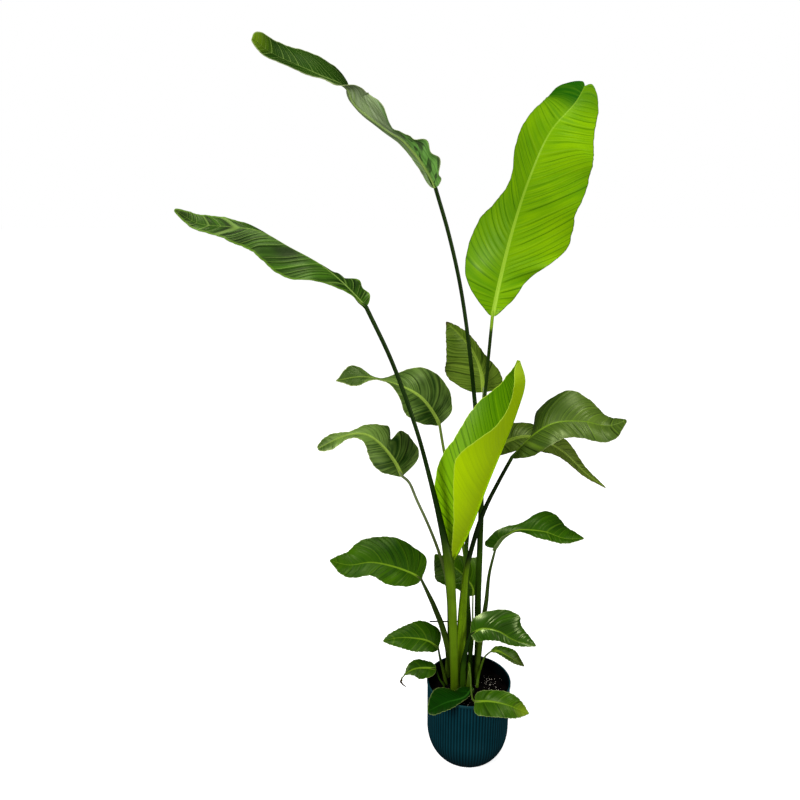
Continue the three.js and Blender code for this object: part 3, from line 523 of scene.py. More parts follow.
leaf(
    rib=[(7, -108, 243), (43, -125, 257), (82, -140, 259), (138, -155, 244)],
    face=[(-0.2, -0.5, 0.85), (0, -0.5, 0.85), (0, -0.4, 0.9)],
    left=(22, 28, 31, 24, 4), right=(32, 37, 33, 24, 4),
    fold=RIGHT_DOWN,
    waves=((2, 2, 0), (2, 2, 0.3)), sweep=(-0.25, 0.35),
    stalk=[(2, -98, 242), (0, -72, 251), (0, -38, 268), (-1, -8, 284), (-1, 8, 272)],
    foot=(-2, 20), radii=(2.5, 4), size="small",
    tone="grass", stalk_tone="pale", aged=(0.6, 1, 0.5, 0.5),
)


def smooth(low, high, value):
    share = np.clip((value - low) / (high - low), 0, 1)
    return share * share * (3 - 2 * share)


def unit(vectors):
    return vectors / np.linalg.norm(vectors, axis=-1, keepdims=True)


def along(values, share):
    """Values given at even steps, on a smooth curve, at shares of the way through them."""
    values = np.asarray(values, float)
    last = len(values) - 1
    place = np.clip(share, 0, 1) * last
    step = np.minimum(place.astype(int), last - 1)
    ends = np.concatenate([[2 * values[0] - values[1]], values, [2 * values[-1] - values[-2]]])
    a, b, c, d = (ends[step + k] for k in range(4))
    w = (place - step).reshape(place.shape + (1,) * (values.ndim - 1))
    return b + 0.5 * w * (c - a + w * (2 * a - 5 * b + 4 * c - d + w * (3 * (b - c) + d - a)))


class Line:
    """A smooth curve through points, read by share of its length."""

    SAMPLES = 400
    REACH = 2.0

    def __init__(self, points):
        points = np.asarray(points, float)
        ends = np.vstack([2 * points[0] - points[1], points, 2 * points[-1] - points[-2]])
        share = np.linspace(0, 1, self.SAMPLES) * (len(points) - 1)
        step = np.minimum(share.astype(int), len(points) - 2)
        w = (share - step)[:, None]
        p0, p1, p2, p3 = (ends[step + k] for k in range(4))
        pairs = ((p0, p1), (p1, p2), (p2, p3))
        t0, t1, t2 = (np.linalg.norm(q - p, axis=1)[:, None] ** 0.5 for p, q in pairs)
        start = ((p1 - p0) / t0 - (p2 - p0) / (t0 + t1) + (p2 - p1) / t1) * t1
        end = ((p2 - p1) / t1 - (p3 - p1) / (t1 + t2) + (p3 - p2) / t2) * t1
        square = -3 * p1 + 3 * p2 - 2 * start - end
        cube = 2 * p1 - 2 * p2 + start + end
        self.points = p1 + start * w + square * w**2 + cube * w**3
        steps = np.linalg.norm(np.diff(self.points, axis=0), axis=1)
        self.run = np.concatenate([[0], np.cumsum(steps)])
        self.length = self.run[-1]

    def at(self, distance):
        distance = np.clip(distance, 0, self.length)
        return np.stack([np.interp(distance, self.run, self.points[:, k]) for k in range(3)], -1)

    def frame(self, share):
        """Points and forward directions. Past either end the line runs on straight."""
        distance = np.asarray(share, float) * self.length
        inside = np.clip(distance, 0, self.length)
        forward = unit(self.at(inside + self.REACH) - self.at(inside - self.REACH))
        return self.at(inside) + forward * (distance - inside)[..., None], forward


def rib_frame(leaf, line, share):
    point, forward = line.frame(share)
    face = along(leaf["face"], share)
    face = unit(face - (face * forward).sum(-1, keepdims=True) * forward)
    return point, forward, face, np.cross(forward, face)


def rounded_end(share):
    return np.sqrt(1 - (1 - np.minimum(1, share)) ** 2)


def least_half_width(leaf, share):
    return BASE_HALF_WIDTH + (leaf.get("tip", TIP_HALF_WIDTH) - BASE_HALF_WIDTH) * share


def half_width(leaf, side, share):
    least = least_half_width(leaf, share)
    ends = rounded_end(share / leaf.get("rounded", ROUNDED_BASE))
    ends = ends * rounded_end((1 - share) / POINTED_TIP)
    width = least + np.maximum(0, along(leaf[side], share) - least) * ends
    for place, depth, wide in leaf.get(side + "_nicks", []):
        width = width - depth * np.exp(-(((share - place) / wide) ** 2))
    return width


def margin_wobble(leaf, side, share):
    """Small unevenness of a margin, the same on each run."""
    start = MARGIN_STARTS["next_leaf"] * LEAVES.index(leaf) + MARGIN_STARTS[side]
    wobble = 0
    for count, size in MARGIN_WAVES:
        wobble = wobble + size * np.sin(2 * math.pi * count * share + start * count)
    return MARGIN_WOBBLE * wobble * smooth(0, MARGIN_EASE, share) * smooth(0, MARGIN_EASE, 1 - share)


def crease_phase(leaf, line, share):
    """How many creases lie between the base and each share, unevenly spaced."""
    creases = line.length / leaf.get("crease_spacing", CREASE_SPACING)
    phase = BASE_CREASES["count"] * (1 - np.exp(-share / BASE_CREASES["reach"])) + share * creases
    for number, (count, size) in enumerate(SPACING_WAVES, 1):
        start = number * LEAVES.index(leaf)
        phase = phase + size * np.sin(2 * math.pi * count * share + start)
    return phase


def crease_profile(phase):
    """Each fold drops slowly towards the tip, then steps up sharply to the next one."""
    left = 1 - phase % 1
    return left**CREASE_DROP * (1 - np.exp(-(((1 - left) / CREASE_STEP) ** 2))) - 0.5


def leant(leaf, line, side, share, across):
    """Shares that move forward with the veins, which lean more than the part's own rows."""
    lean = leaf.get("lean", VEIN_LEAN) * max(leaf[side]) / line.length
    window = smooth(0, LEAN_FULL[0], share) * smooth(1, LEAN_FULL[1], share)
    return share[:, None] + lean * window[:, None] * across**LEAN_BEND


def half_blade(leaf, line, side, share, across):
    """Middle surface of one half. across runs from the rib to the margin."""
    share = leant(leaf, line, side, share, across)
    half = half_width(leaf, side, share) + margin_wobble(leaf, side, share)
    half = np.maximum(half, TIP_HALF_WIDTH)
    widest = max(leaf[side])
    lobe = smooth(0, BASE_LOBE, share)
    sweep = leaf["sweep"][0] + (leaf["sweep"][1] - leaf["sweep"][0]) * lobe
    slant = sweep * (half - least_half_width(leaf, share))
    split = leaf.get("split", 0) * smooth(SPLIT_START, 1, share) * np.sin(math.pi * across)
    place = share + (slant * across**VEIN_BEND + split) / line.length
    point, _, face, right = rib_frame(leaf, line, place)
    index = 0 if side == "left" else 1
    fold = np.radians(along(leaf["fold"], place)[..., index])
    curl = np.radians(along(leaf.get("curl", [(0, 0), (0, 0)]), place)[..., index])
    curl = np.where(np.abs(curl) < MIN_CURL, MIN_CURL, curl)
    angle = fold + curl * across * half / widest
    out = (np.sin(angle) - np.sin(fold)) / curl * widest
    up = (np.cos(fold) - np.cos(angle)) / curl * widest
    crown = leaf.get("crown", CROWN) * half * np.sin(math.pi * across)
    up = up + crown * smooth(0, CROWN_EASE, share) * np.cos(angle)
    height, count, phase = leaf.get("waves", CALM)[index]
    narrow = np.minimum(1, half / widest * WAVE_NARROWING)
    ripple = height * across**2 * np.sin(2 * math.pi * (count * place + phase)) * narrow
    for start, end, size, waves in leaf.get(side + "_frills", []):
        window = smooth(start, start + FRILL_EASE, share) * smooth(end, end - FRILL_EASE, share)
        turn = 2 * math.pi * waves * (share - start) / (end - start)
        ripple = ripple + size * window * across**3 * np.sin(turn)
    outward = -1 if side == "left" else 1
    point = point + right * (outward * (out - np.sin(angle) * ripple))[..., None]
    point = point + face * (up + np.cos(angle) * ripple)[..., None]
    return dict(points=point, rib=across * half, margin=(1 - across) * half)


def blade_places(leaf, side, share, count):
    """Places across a half, close together on the midrib and even out to the margin."""
    half = half_width(leaf, side, share)
    rib = MIDRIB_HALF_WIDTH * (1 - (1 - MIDRIB_TIP_SHARE) * share)
    edge = np.minimum(MIDRIB_FINE * rib / half, MIDRIB_WIDEST_SHARE)[:, None]
    close = np.linspace(0, 1, RIB_PLACES + 1)[1:]
    even = np.linspace(0, 1, count - RIB_PLACES + 1)[1:]
    return np.concatenate([edge * close, edge + (1 - edge) * even], axis=1)


def midrib_shape(leaf, share, from_rib):
    """Depth of the groove on top and of the ridge below, near the rib."""
    narrowing = 1 - (1 - MIDRIB_TIP_SHARE) * share
    bump = np.sqrt(np.clip(1 - (from_rib / (MIDRIB_HALF_WIDTH * narrowing)[:, None]) ** 2, 0, 1))
    folds = np.cos(np.radians(np.minimum(0, along(leaf["fold"], share)))).prod(-1)
    groove = MIDRIB_GROOVE * bump**2 * (1 - MIDRIB_GROOVE_FADE * share)[:, None]
    return groove, (leaf["radii"][0] * narrowing * folds)[:, None] * bump


def surface_normals(grid):
    return unit(np.cross(np.gradient(grid, axis=1), np.gradient(grid, axis=0)))


def grid_faces(rows, columns, start=0, flip=False, closed=False):
    """Quads between the corners of a grid. closed joins the last column to the first."""
    row = np.arange(rows - 1)[:, None] * columns
    near = np.arange(columns if closed else columns - 1)[None, :]
    far = (near + 1) % columns
    a, b, c, d = row + near, row + far, row + columns + far, row + columns + near
    order = (a, d, c, b) if flip else (a, b, c, d)
    return start + np.stack(order, -1).reshape(-1, 4)


def capped_faces(rings, sides, flip=False):
    """Faces of a stack of rings, with a flat face over the first and over the last."""
    first = list(range(sides))
    last = [(rings - 1) * sides + k for k in first]
    ends = [first, last[::-1]] if flip else [first[::-1], last]
    return grid_faces(rings, sides, closed=True, flip=flip).tolist() + ends


def make_rings(name, corners, material, uvs):
    """A closed form of rings, one row of corners each."""
    faces = capped_faces(*corners.shape[:2])
    return make_mesh(name, corners, faces, [material], uvs=uvs, sharp=SHARP_EDGE)


def border_faces(rows, columns):
    """Quads that join an upper grid to the lower one that follows it, all round."""
    number = np.arange(rows * columns).reshape(rows, columns)
    loop = np.concatenate([number[0, :-1], number[:-1, -1], number[-1, :0:-1], number[:0:-1, 0]])
    following = np.roll(loop, -1)
    below = rows * columns
    return np.stack([following, loop, loop + below, following + below], -1)


def add_object(name, data):
    added = bpy.data.objects.new(name, data)
    bpy.context.scene.collection.objects.link(added)
    return added


def make_mesh(name, corners, faces, materials, looks=None, uvs=None, sharp=None):
    mesh = bpy.data.meshes.new(name)
    mesh.from_pydata((np.reshape(corners, (-1, 3)) * MM).tolist(), [], faces)
    for material in materials:
        mesh.materials.append(material)
    if looks is not None:
        mesh.polygons.foreach_set("material_index", np.asarray(looks, "i"))
    corner_of = np.zeros(len(mesh.loops), "i")
    mesh.loops.foreach_get("vertex_index", corner_of)
    for layer, values in (uvs or {}).items():
        uv = mesh.uv_layers.new(name=layer)
        uv.data.foreach_set("uv", np.asarray(values, float)[corner_of].ravel())
    mesh.shade_smooth()
    if sharp:
        mesh.set_sharp_from_angle(angle=math.radians(sharp))
    return add_object(name, mesh)


def settle(piece, node):
    """The piece stands for a node of the part, which it hides, and rides on its body."""
    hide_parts(node)
    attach(piece, "root")


def ageing_and_shading(leaf, share, side):
    """How far the blade has turned in colour, and gone brown. side is negative on the left."""
    amounts = []
    for change in ("aged", "brown"):
        start, full, left, right = leaf.get(change, (0, 1, 0, 0))
        amounts.append(smooth(start, full, share) * np.where(side < 0, left, right))
    return amounts


def make_blade(leaf, upper, under):
    grid = GRIDS[leaf["size"]]
    line = Line(leaf["rib"])
    even = np.linspace(0, 1, grid["along"] + 1)
    share = even - EASED_STEPS * np.sin(2 * math.pi * even) / (2 * math.pi)
    across = {side: blade_places(leaf, side, share, grid["across"]) for side in ("left", "right")}
    half = {side: half_blade(leaf, line, side, share, across[side]) for side in across}
    point, _, face, _ = rib_frame(leaf, line, share)
    zero = np.zeros((len(share), 1))
    rim = half_width(leaf, "left", share)[:, None]

    def joined(left, centre, right):
        return np.concatenate([left[:, ::-1], centre, right], 1)

    middle = joined(half["left"]["points"], point[:, None], half["right"]["points"])
    from_rib = joined(half["left"]["rib"], zero, half["right"]["rib"])
    from_margin = joined(half["left"]["margin"], rim, half["right"]["margin"])
    side = joined(-across["left"], zero, across["right"])
    phase = crease_phase(leaf, line, share)[:, None] + 0 * side
    first, last = CREASES_FADE
    weaker = (1 - CREASES_AT_MARGIN) * smooth(CREASES_WEAKEN_FROM, 1, np.abs(side))
    shown = smooth(*CREASES_FROM_RIB, from_rib) * (1 - weaker)
    shown = shown * (smooth(0, first, share) * smooth(0, last, 1 - share))[:, None]
    creases = leaf.get("crease_height", CREASE_HEIGHT) * crease_profile(phase) * shown
    middle = middle + surface_normals(middle) * creases[..., None]
    normal = surface_normals(middle)
    normal[:, grid["across"]] = face
    groove, ridge = midrib_shape(leaf, share, from_rib)
    top = middle + normal * (BLADE_HALF_THICKNESS - groove)[..., None]
    bottom = middle - normal * (BLADE_HALF_THICKNESS + ridge)[..., None]
    rows, columns = side.shape
    faces = [
        grid_faces(rows, columns),
        grid_faces(rows, columns, rows * columns, flip=True),
        border_faces(rows, columns),
    ]
    looks = np.repeat([0, 1, 0], [len(part) for part in faces])
    shares = share[:, None] + 0 * side
    aged_and_shaded_share, brown = ageing_and_shading(leaf, shares, side)

    def both_sides(first, second):
        flat = np.stack([first.ravel(), second.ravel()], -1)
        return np.concatenate([flat, flat])

    uvs = dict(
        Veins=both_sides(phase, side),
        Place=both_sides(from_rib * np.sign(side), shares),
        Margin=both_sides(from_margin, shares * line.length),
        Age=both_sides(aged_and_shaded_share, brown),
    )
    corners = np.concatenate([top.reshape(-1, 3), bottom.reshape(-1, 3)])
    name = leaf["name"].capitalize() + "_Blade"
    faces = np.concatenate(faces).tolist()
    piece = make_mesh(name, corners, faces, [upper, under], looks, uvs, SHARP_BLADE_EDGE)
    settle(piece, leaf["name"] + "_blade")


def rolled_along(way):
    """A direction square to the way at each ring, turned as little as can be between rings."""
    sides = [np.array([0, 1.0, 0])]
    for direction in way:
        side = sides[-1] - np.dot(sides[-1], direction) * direction
        sides.append(side / np.linalg.norm(side))
    return np.array(sides[1:])


def make_tube(name, centre, way, radius, sides, material, channel=None):
    """A closed tube of rings, with a flattened or hollowed side where channel says so."""
    first = rolled_along(way)
    second = np.cross(way, first)
    angle = np.linspace(0, 2 * math.pi, sides, endpoint=False)
    hollow = 0 * angle
    if channel:
        hollow = channel["depth"] * np.exp(-(((angle - math.pi) / channel["width"]) ** 2))
    spread = radius[:, None] * (1 - hollow)
    corners = centre[:, None] + first[:, None] * (spread * np.cos(angle))[..., None]
    corners = corners + second[:, None] * (spread * np.sin(angle))[..., None]
    rings = len(centre)
    run = np.concatenate([[0], np.cumsum(np.linalg.norm(np.diff(centre, axis=0), axis=1))])
    turn = np.tile(angle / (2 * math.pi), rings)
    uvs = dict(
        Run=np.stack([np.repeat(run / run[-1], sides), turn], -1),
        Length=np.stack([np.repeat(run, sides), turn * 2 * math.pi * np.repeat(radius, sides)], -1),
    )
    return make_rings(name, corners, material, uvs)


def make_stalk(leaf, material):
    """Rings down from the blade into the soil, with a thin end that runs on as the midrib."""
    rib = Line(leaf["rib"])
    line = Line([leaf["rib"][0], *leaf["stalk"], (*leaf["foot"], SOIL_TOP + COLLAR)])
    share = np.linspace(0, 1, GRIDS[leaf["size"]]["stalk"] + 1)
    centre, way = line.frame(share)
    taper = np.linspace(RIB_RUN["thinnest"], 1, RIB_RUN["rings"], endpoint=False)
    place = (1 - taper) * RIB_RUN["length"] / rib.length
    point, forward, face, _ = rib_frame(leaf, rib, place)
    sunk = RIB_RUN["sunk"] * leaf["radii"][0] * smooth(1, RIB_RUN["sunk_until"], taper)
    foot = np.array([[*leaf["foot"], SOIL_TOP - FOOT_DEPTH]], float)
    way[-1] = (0, 0, -1)
    centre = np.concatenate([point - face * sunk[:, None], centre, foot])
    way = np.concatenate([-forward, way, way[-1:]])
    radius = along(leaf["radii"], share)
    radius = np.concatenate([leaf["radii"][0] * taper, radius, radius[-1:]])
    name = leaf["name"].capitalize() + "_Stalk"
    piece = make_tube(name, centre, way, radius, STALK_SIDES, material, STALK_CHANNEL)
    settle(piece, leaf["name"] + "_stalk")


def bowl(inset, rows):
    """Half section of the rounded bowl from its flat foot up to the wall."""
    wide, deep = BOWL_WIDE - inset, BOWL_DEEP - inset
    start = math.asin((BOWL_TOP - inset) / deep)
    angle = start * (1 - np.linspace(0, 1, rows + 1))
    return np.stack([WALL_RADIUS - BOWL_WIDE + wide * np.cos(angle), BOWL_TOP - deep * np.sin(angle)], 1)


def lip():
    """Rounded section of the lip, from its outer foot over the top to its inner edge."""
    bottom = POT_HEIGHT - LIP_HEIGHT
    turn = np.radians(np.linspace(0, 90, LIP_PLACES))
    outer = RIM_RADIUS - LIP_ROUND * (1 - np.cos(turn))
    inner = RIM_RADIUS - LIP_WIDTH + LIP_ROUND * (1 - np.sin(turn))
    rise = POT_HEIGHT - LIP_ROUND * (1 - np.sin(turn))
    fall = POT_HEIGHT - LIP_ROUND * (1 - np.cos(turn))
    return np.concatenate([
        [(RIM_RADIUS - LIP_FOOT["inset"], bottom), (RIM_RADIUS, bottom + LIP_FOOT["rise"])],
        np.stack([outer, rise], 1),
        np.stack([inner, fall], 1),
    ])


def turned(profile, places, ribbed=None):
    """Corners of a turned form. ribbed gives how deep the ribs are cut at each profile point."""
    angle = np.linspace(0, 2 * math.pi, places, endpoint=False)
    radius = profile[:, :1] + 0 * angle
    if ribbed is not None:
        wave = 0.5 - 0.5 * np.cos(RIBS * angle)
        radius = radius - ribbed[:, None] * wave**RIB_SHARPNESS
    height = profile[:, 1:] + 0 * angle
    return np.stack([radius * np.cos(angle), radius * np.sin(angle), height], -1)


def make_pot(material):
    outer = bowl(0, BOWL_ROWS)
    wall_top = (WALL_TOP_RADIUS, POT_HEIGHT - LIP_HEIGHT)
    wall = np.linspace((WALL_RADIUS, BOWL_TOP), wall_top, WALL_ROWS + 1)
    inner = bowl(WALL, BOWL_ROWS // 2)[::-1]
    foot, floor = [[AXIS_RADIUS, 0]], [[AXIS_RADIUS, WALL]]
    profile = np.concatenate([foot, outer, wall[1:], lip(), inner, floor])
    depth = np.zeros(len(profile))
    walled = len(outer) + WALL_ROWS
    depth[1:1 + walled] = RIB_DEPTH * smooth(0, RIB_EASED_ROWS, np.arange(walled))
    places = RIBS * PLACES_PER_RIB
    corners = turned(profile, places, depth)
    rows = len(profile)
    rib = np.tile(np.arange(places) / PLACES_PER_RIB, rows)
    depth[walled + len(lip()):] = -RIB_DEPTH
    cut = np.repeat(depth / RIB_DEPTH, places)
    uvs = dict(Ribs=np.stack([rib, cut], -1))
    settle(make_rings("Pot_Ribbed", corners, material, uvs), "pot")


def soil_height(x, y):
    scale = SOIL_NOISE["scale"]
    spot = Vector((x * scale, y * scale, SOIL_NOISE["slice"]))
    rough = noise.fractal(spot, SOIL_NOISE["fading"], SOIL_NOISE["finer"], SOIL_NOISE["octaves"])
    edge = max(0, (math.hypot(x, y) / SOIL_EDGE - SOIL_FLAT_SHARE) / (1 - SOIL_FLAT_SHARE))
    return SOIL_TOP + SOIL_ROUGHNESS * rough - SOIL_EDGE_DROP * edge


def make_soil(material):
    rings, places = SOIL_GRID["rings"], SOIL_GRID["places"]
    radius = SOIL_EDGE * np.linspace(SOIL_GRID["innermost"], 1, rings)
    profile = np.stack([radius, 0 * radius], 1)
    below = [[SOIL_EDGE, -SOIL_DEPTH], [AXIS_RADIUS, -SOIL_DEPTH]]
    profile = np.concatenate([profile, below])
    corners = turned(profile, places)
    for corner in corners[:rings].reshape(-1, 3):
        corner[2] = soil_height(corner[0], corner[1])
    corners[rings:, :, 2] += SOIL_TOP
    faces = capped_faces(len(profile), places, flip=True)
    piece = make_mesh("Soil_Surface", corners, faces, [material])
    settle(piece, "soil")


def scatter(name, spots, material, kind):
    """One mesh of small uneven lumps, each at (x, y, size) on the soil."""
    rng = np.random.default_rng(kind["seed"])
    build = bmesh.new()
    for x, y, size in spots:
        shape = Matrix.Diagonal((*rng.uniform(kind["squash"], 1, 3), 1))
        turn = Matrix.Rotation(rng.uniform(0, LUMP_TURN), 4, Vector(rng.normal(size=3)).normalized())
        middle = Vector((x, y, soil_height(x, y) - size * LUMP_SUNK))
        place = Matrix.Translation(middle) @ turn @ shape
        made = bmesh.ops.create_icosphere(build, subdivisions=1, radius=size, matrix=place)
        for corner in made["verts"]:
            corner.co = middle + (corner.co - middle) * rng.uniform(*LUMP_UNEVEN)
    mesh = bpy.data.meshes.new(name)
    build.to_mesh(mesh)
    build.free()
    mesh.transform(Matrix.Scale(MM, 4))
    mesh.materials.append(material)
    piece = add_object(name, mesh)
    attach(piece, "root")


def make_crumbs(soil_look, perlite_look):
    rng = np.random.default_rng(SPREAD_SEED)
    count, smallest = CRUMBS["count"], CRUMBS["smallest"]
    far = (SOIL_EDGE - CRUMBS["from_edge"]) * np.sqrt(rng.uniform(0, 1, count))
    turn = rng.uniform(0, 2 * math.pi, count)
    size = smallest + (CRUMBS["largest"] - smallest) * rng.uniform(0, 1, count) ** 3
    spots = np.stack([far * np.cos(turn), far * np.sin(turn), size], 1)
    scatter("Soil_Crumbs", spots, soil_look, CRUMBS)
    spots = []
    for patch in PERLITE_PATCHES:
        for _ in range(patch["count"]):
            x, y = rng.normal((patch["x"], patch["y"]), patch["spread"] / 2)
            size = rng.uniform(PERLITE["smallest"], PERLITE["largest"])
            if math.hypot(x, y) < SOIL_EDGE - PERLITE["from_edge"]:
                spots.append((x, y, size))
    scatter("Soil_Perlite", spots, perlite_look, PERLITE)


def rod_rings(start, end, radius):
    """Centres and radii of a straight rod with rounded ends."""
    start, end = np.array(start, float), np.array(end, float)
    rings = ROD["rings"]
    turn = np.radians(np.linspace(0, ROD["cap_turn"], ROD["cap_rings"]))[::-1]
    length = np.linalg.norm(end - start)
    cap = radius * (1 - np.sin(turn))
    place = np.concatenate([cap, np.linspace(radius, length - radius, rings), length - cap[::-1]])
    tip = radius * np.cos(turn)
    around = np.concatenate([tip, np.full(rings, radius), tip[::-1]])
    way = unit(end - start)
    return start + way * place[:, None], np.tile(way, (len(place), 1)), around


def make_support(material):
    x, y, bar = STAKE["x"], STAKE["y"], CROSSBAR
    rods = dict(
        Support_Stake=((x, y, SOIL_TOP - FOOT_DEPTH), (x, y, STAKE["top"]), STAKE["radius"]),
        Support_Crossbar=((bar["left"], y, bar["z"]), (bar["right"], y, bar["z"]), bar["radius"]),
    )
    for name, rod in rods.items():
        settle(make_tube(name, *rod_rings(*rod), ROD["sides"], material), "support")


def make_shoot(material):
    """A rolled leaf that hasn't opened: a spindle with a seam that winds round it."""
    rings, sides = SHOOT_GRID["rings"], SHOOT_GRID["sides"]
    share = np.linspace(0, 1, rings)
    height = SOIL_TOP - FOOT_DEPTH + share * (SHOOT["height"] + FOOT_DEPTH)
    radius = SHOOT["radius"] * (1 - smooth(SHOOT["pointed"], SHOOT["end"], share))
    centre = np.stack([0 * height + SHOOT["x"], 0 * height + SHOOT["y"], height], 1)
    angle = np.linspace(0, 2 * math.pi, sides, endpoint=False)
    seam = (angle[None, :] / (2 * math.pi) - SHOOT_SEAM["turns"] * share[:, None]) % 1
    spread = radius[:, None] * (SHOOT_SEAM["inside"] + SHOOT_SEAM["step"] * seam)
    ring = np.stack([spread * np.cos(angle), spread * np.sin(angle), 0 * spread], -1)
    run = np.stack([np.repeat(1 - share, sides), np.tile(angle / (2 * math.pi), rings)], -1)
    length = np.stack([np.repeat(height, sides), (spread * angle).ravel()], -1)
    uvs = dict(Run=run, Length=length)
    piece = make_rings("Young_Shoot", centre[:, None] + ring, material, uvs)
    settle(piece, "young_shoot")


class Look:
    """A material whose nodes are added and joined one at a time. base is its colour so far."""

    def __init__(self, name, **shader):
        self.material = bpy.data.materials.new(name)
        self.material.use_nodes = True
        self.tree = self.material.node_tree
        self.shader = self.tree.nodes["Principled BSDF"]
        for socket, value in shader.items():
            self.shader.inputs[socket.replace("_", " ")].default_value = value

    def node(self, kind, inputs, output=0, **settings):
        node = self.tree.nodes.new(kind)
        for name, value in settings.items():
            setattr(node, name, value)
        for socket, value in inputs.items():
            if isinstance(value, bpy.types.NodeSocket):
                self.tree.links.new(value, node.inputs[socket])
            else:
                node.inputs[socket].default_value = value
        return node.outputs[output]

    def math(self, operation, first, second=0.0, third=0.0):
        return self.node("ShaderNodeMath", {0: first, 1: second, 2: third}, operation=operation)

    def times(self, first, second):
        return self.math("MULTIPLY", first, second)

    def plus(self, first, second):
        return self.math("ADD", first, second)

    def parts(self, vector):
        split = self.tree.nodes.new("ShaderNodeSeparateXYZ")
        self.tree.links.new(vector, split.inputs[0])
        return split.outputs

    def uv(self, layer):
        return self.parts(self.node("ShaderNodeUVMap", {}, uv_map=layer))[:2]

    def vector(self, x, y, z=0.0):
        return self.node("ShaderNodeCombineXYZ", {0: x, 1: y, 2: z})

    def place(self):
        return self.node("ShaderNodeTexCoord", {}, output="Object")

    def height(self):
        return self.parts(self.place())[2]

    def noise(self, vector, scale, detail=3.0, roughness=0.5):
        inputs = dict(Vector=vector, Scale=scale, Detail=detail, Roughness=roughness)
        return self.node("ShaderNodeTexNoise", inputs)

    def between(self, value, low, high, start=0.0, end=1.0):
        inputs = {"Value": value, "From Min": low, "From Max": high, "To Min": start, "To Max": end}
        return self.node("ShaderNodeMapRange", inputs, interpolation_type="SMOOTHSTEP")

    def mix(self, share, first, second):
        return self.node("ShaderNodeMix", {0: share, 6: first, 7: second}, output=2, data_type="RGBA")

    def paint(self, share, over):
        """Lays another colour over the base."""
        self.base = self.mix(share, self.base, over)

    def bump(self, height, strength, distance):
        return self.node("ShaderNodeBump", dict(Height=height, Strength=strength, Distance=distance))

    def finish(self, roughness, normal=None):
        joined = {"Base Color": self.base, "Roughness": roughness, "Normal": normal}
        for socket, value in joined.items():
            if value is not None:
                self.tree.links.new(value, self.shader.inputs[socket])
        return self.material


def blade_look(name, tone, side):
    """Leaf skin: clouded green, streaked along the veins, with creases, midrib and margin."""
    under = side == "under"
    tint = (*LEAF_GLOSS, 1)
    look = Look(name, Specular_IOR_Level=tone["gloss"], Specular_Tint=tint)
    phase, across = look.uv("Veins")
    from_rib, share = look.uv("Place")
    from_margin, run = look.uv("Margin")
    aged, brown = look.uv("Age")
    out = look.math("ABSOLUTE", across)
    cloud = look.noise(look.place(), 9.0, 3.0)
    lengthwise = look.times(from_rib, 0.012)
    streak = look.noise(look.vector(look.times(phase, 3.0), lengthwise), 1.0, 2.0)
    light = look.plus(look.times(cloud, 0.55), look.times(streak, 0.6))
    # The lighter colour is the skin's own paler tone; on the sheen tone it is partly painted sheen.
    look.base = look.mix(look.between(light, *tone["parted"]), *tone[side])
    # Painted light, lifting the upper side near the base where shade falls.
    if tone["low"] and not under:
        low, start, end = tone["low"]
        look.paint(look.between(share, start, end, 1.0, 0.0), low)
    turn = look.times(phase, 2 * math.pi * VEINS_PER_CREASE)
    vein = look.math("SINE", look.plus(turn, look.times(streak, 4.0)))
    look.paint(look.between(vein, 0.2, 1.0, 0.0, tone["veined"]), tone["rib"])
    # Painted shade in the creases.
    paint_creases(look, tone, phase, out, tone["creased"][1 if under else 0])
    if under:
        # Painted shade at random spots, standing for the hollows of the lobe near the base.
        hollow = look.between(look.noise(look.vector(run, from_margin), 0.05, 1.0), 0.5, 0.58)
        lobe = look.mix(look.times(hollow, tone["hollow_shade"]), tone["lobe"], tone["crease"])
        near_base = look.between(share, 0.16, 0.3, 0.85, 0.0)
        on_left = look.between(across, 0.02, -0.02, 0.3, 1.0)
        look.paint(look.times(near_base, on_left), lobe)
    if under and tone["grained"]:
        lines = look.vector(look.times(from_rib, 0.2), look.times(share, 2.5))
        grain = look.between(look.noise(lines, 1.0, 1.0), 0.48, 0.6, 0.0, tone["grained"])
        look.paint(grain, tone["crease"])
    # Tip colour: yellow of age on most tones, painted shade on the fresh tone's bent-back tips.
    look.paint(look.times(aged, look.between(streak, 0.2, 0.6, 0.6, 1.0)), tone["aged"])
    # Painted shade on the left half.
    look.paint(look.between(across, 0.02, -0.02, 0.0, tone["left_shade"]), tone["crease"])
    wide, narrower = tone["rib_width"]
    half = look.math("MULTIPLY_ADD", share, -narrower, wide)
    rib_gap = look.math("SUBTRACT", look.math("ABSOLUTE", from_rib), half)
    strong = look.between(share, 0.0, 0.9, 0.95, 0.35)
    midrib = look.times(look.between(rib_gap, -0.6, 0.7, 1.0, 0.0), strong)
    look.paint(midrib, tone["rib"])
    ragged = look.times(look.noise(look.vector(run, 0.0), 0.12, 2.0), 1.6)
    into_edge = look.math("SUBTRACT", from_margin, ragged)
    look.paint(look.between(into_edge, -0.2, tone["edge"], 0.8, 0.0), tone["margin"])
    look.paint(brown, BROWNED)
    gloss = look.between(look.plus(cloud, streak), 0.6, 1.4, *tone["rough"])
    if under:
        gloss = look.plus(gloss, 0.1)
    fine = look.plus(look.times(vein, 0.15), streak)
    normal = look.bump(fine, tone["relief"], 0.0006)
    return look.finish(gloss, normal)


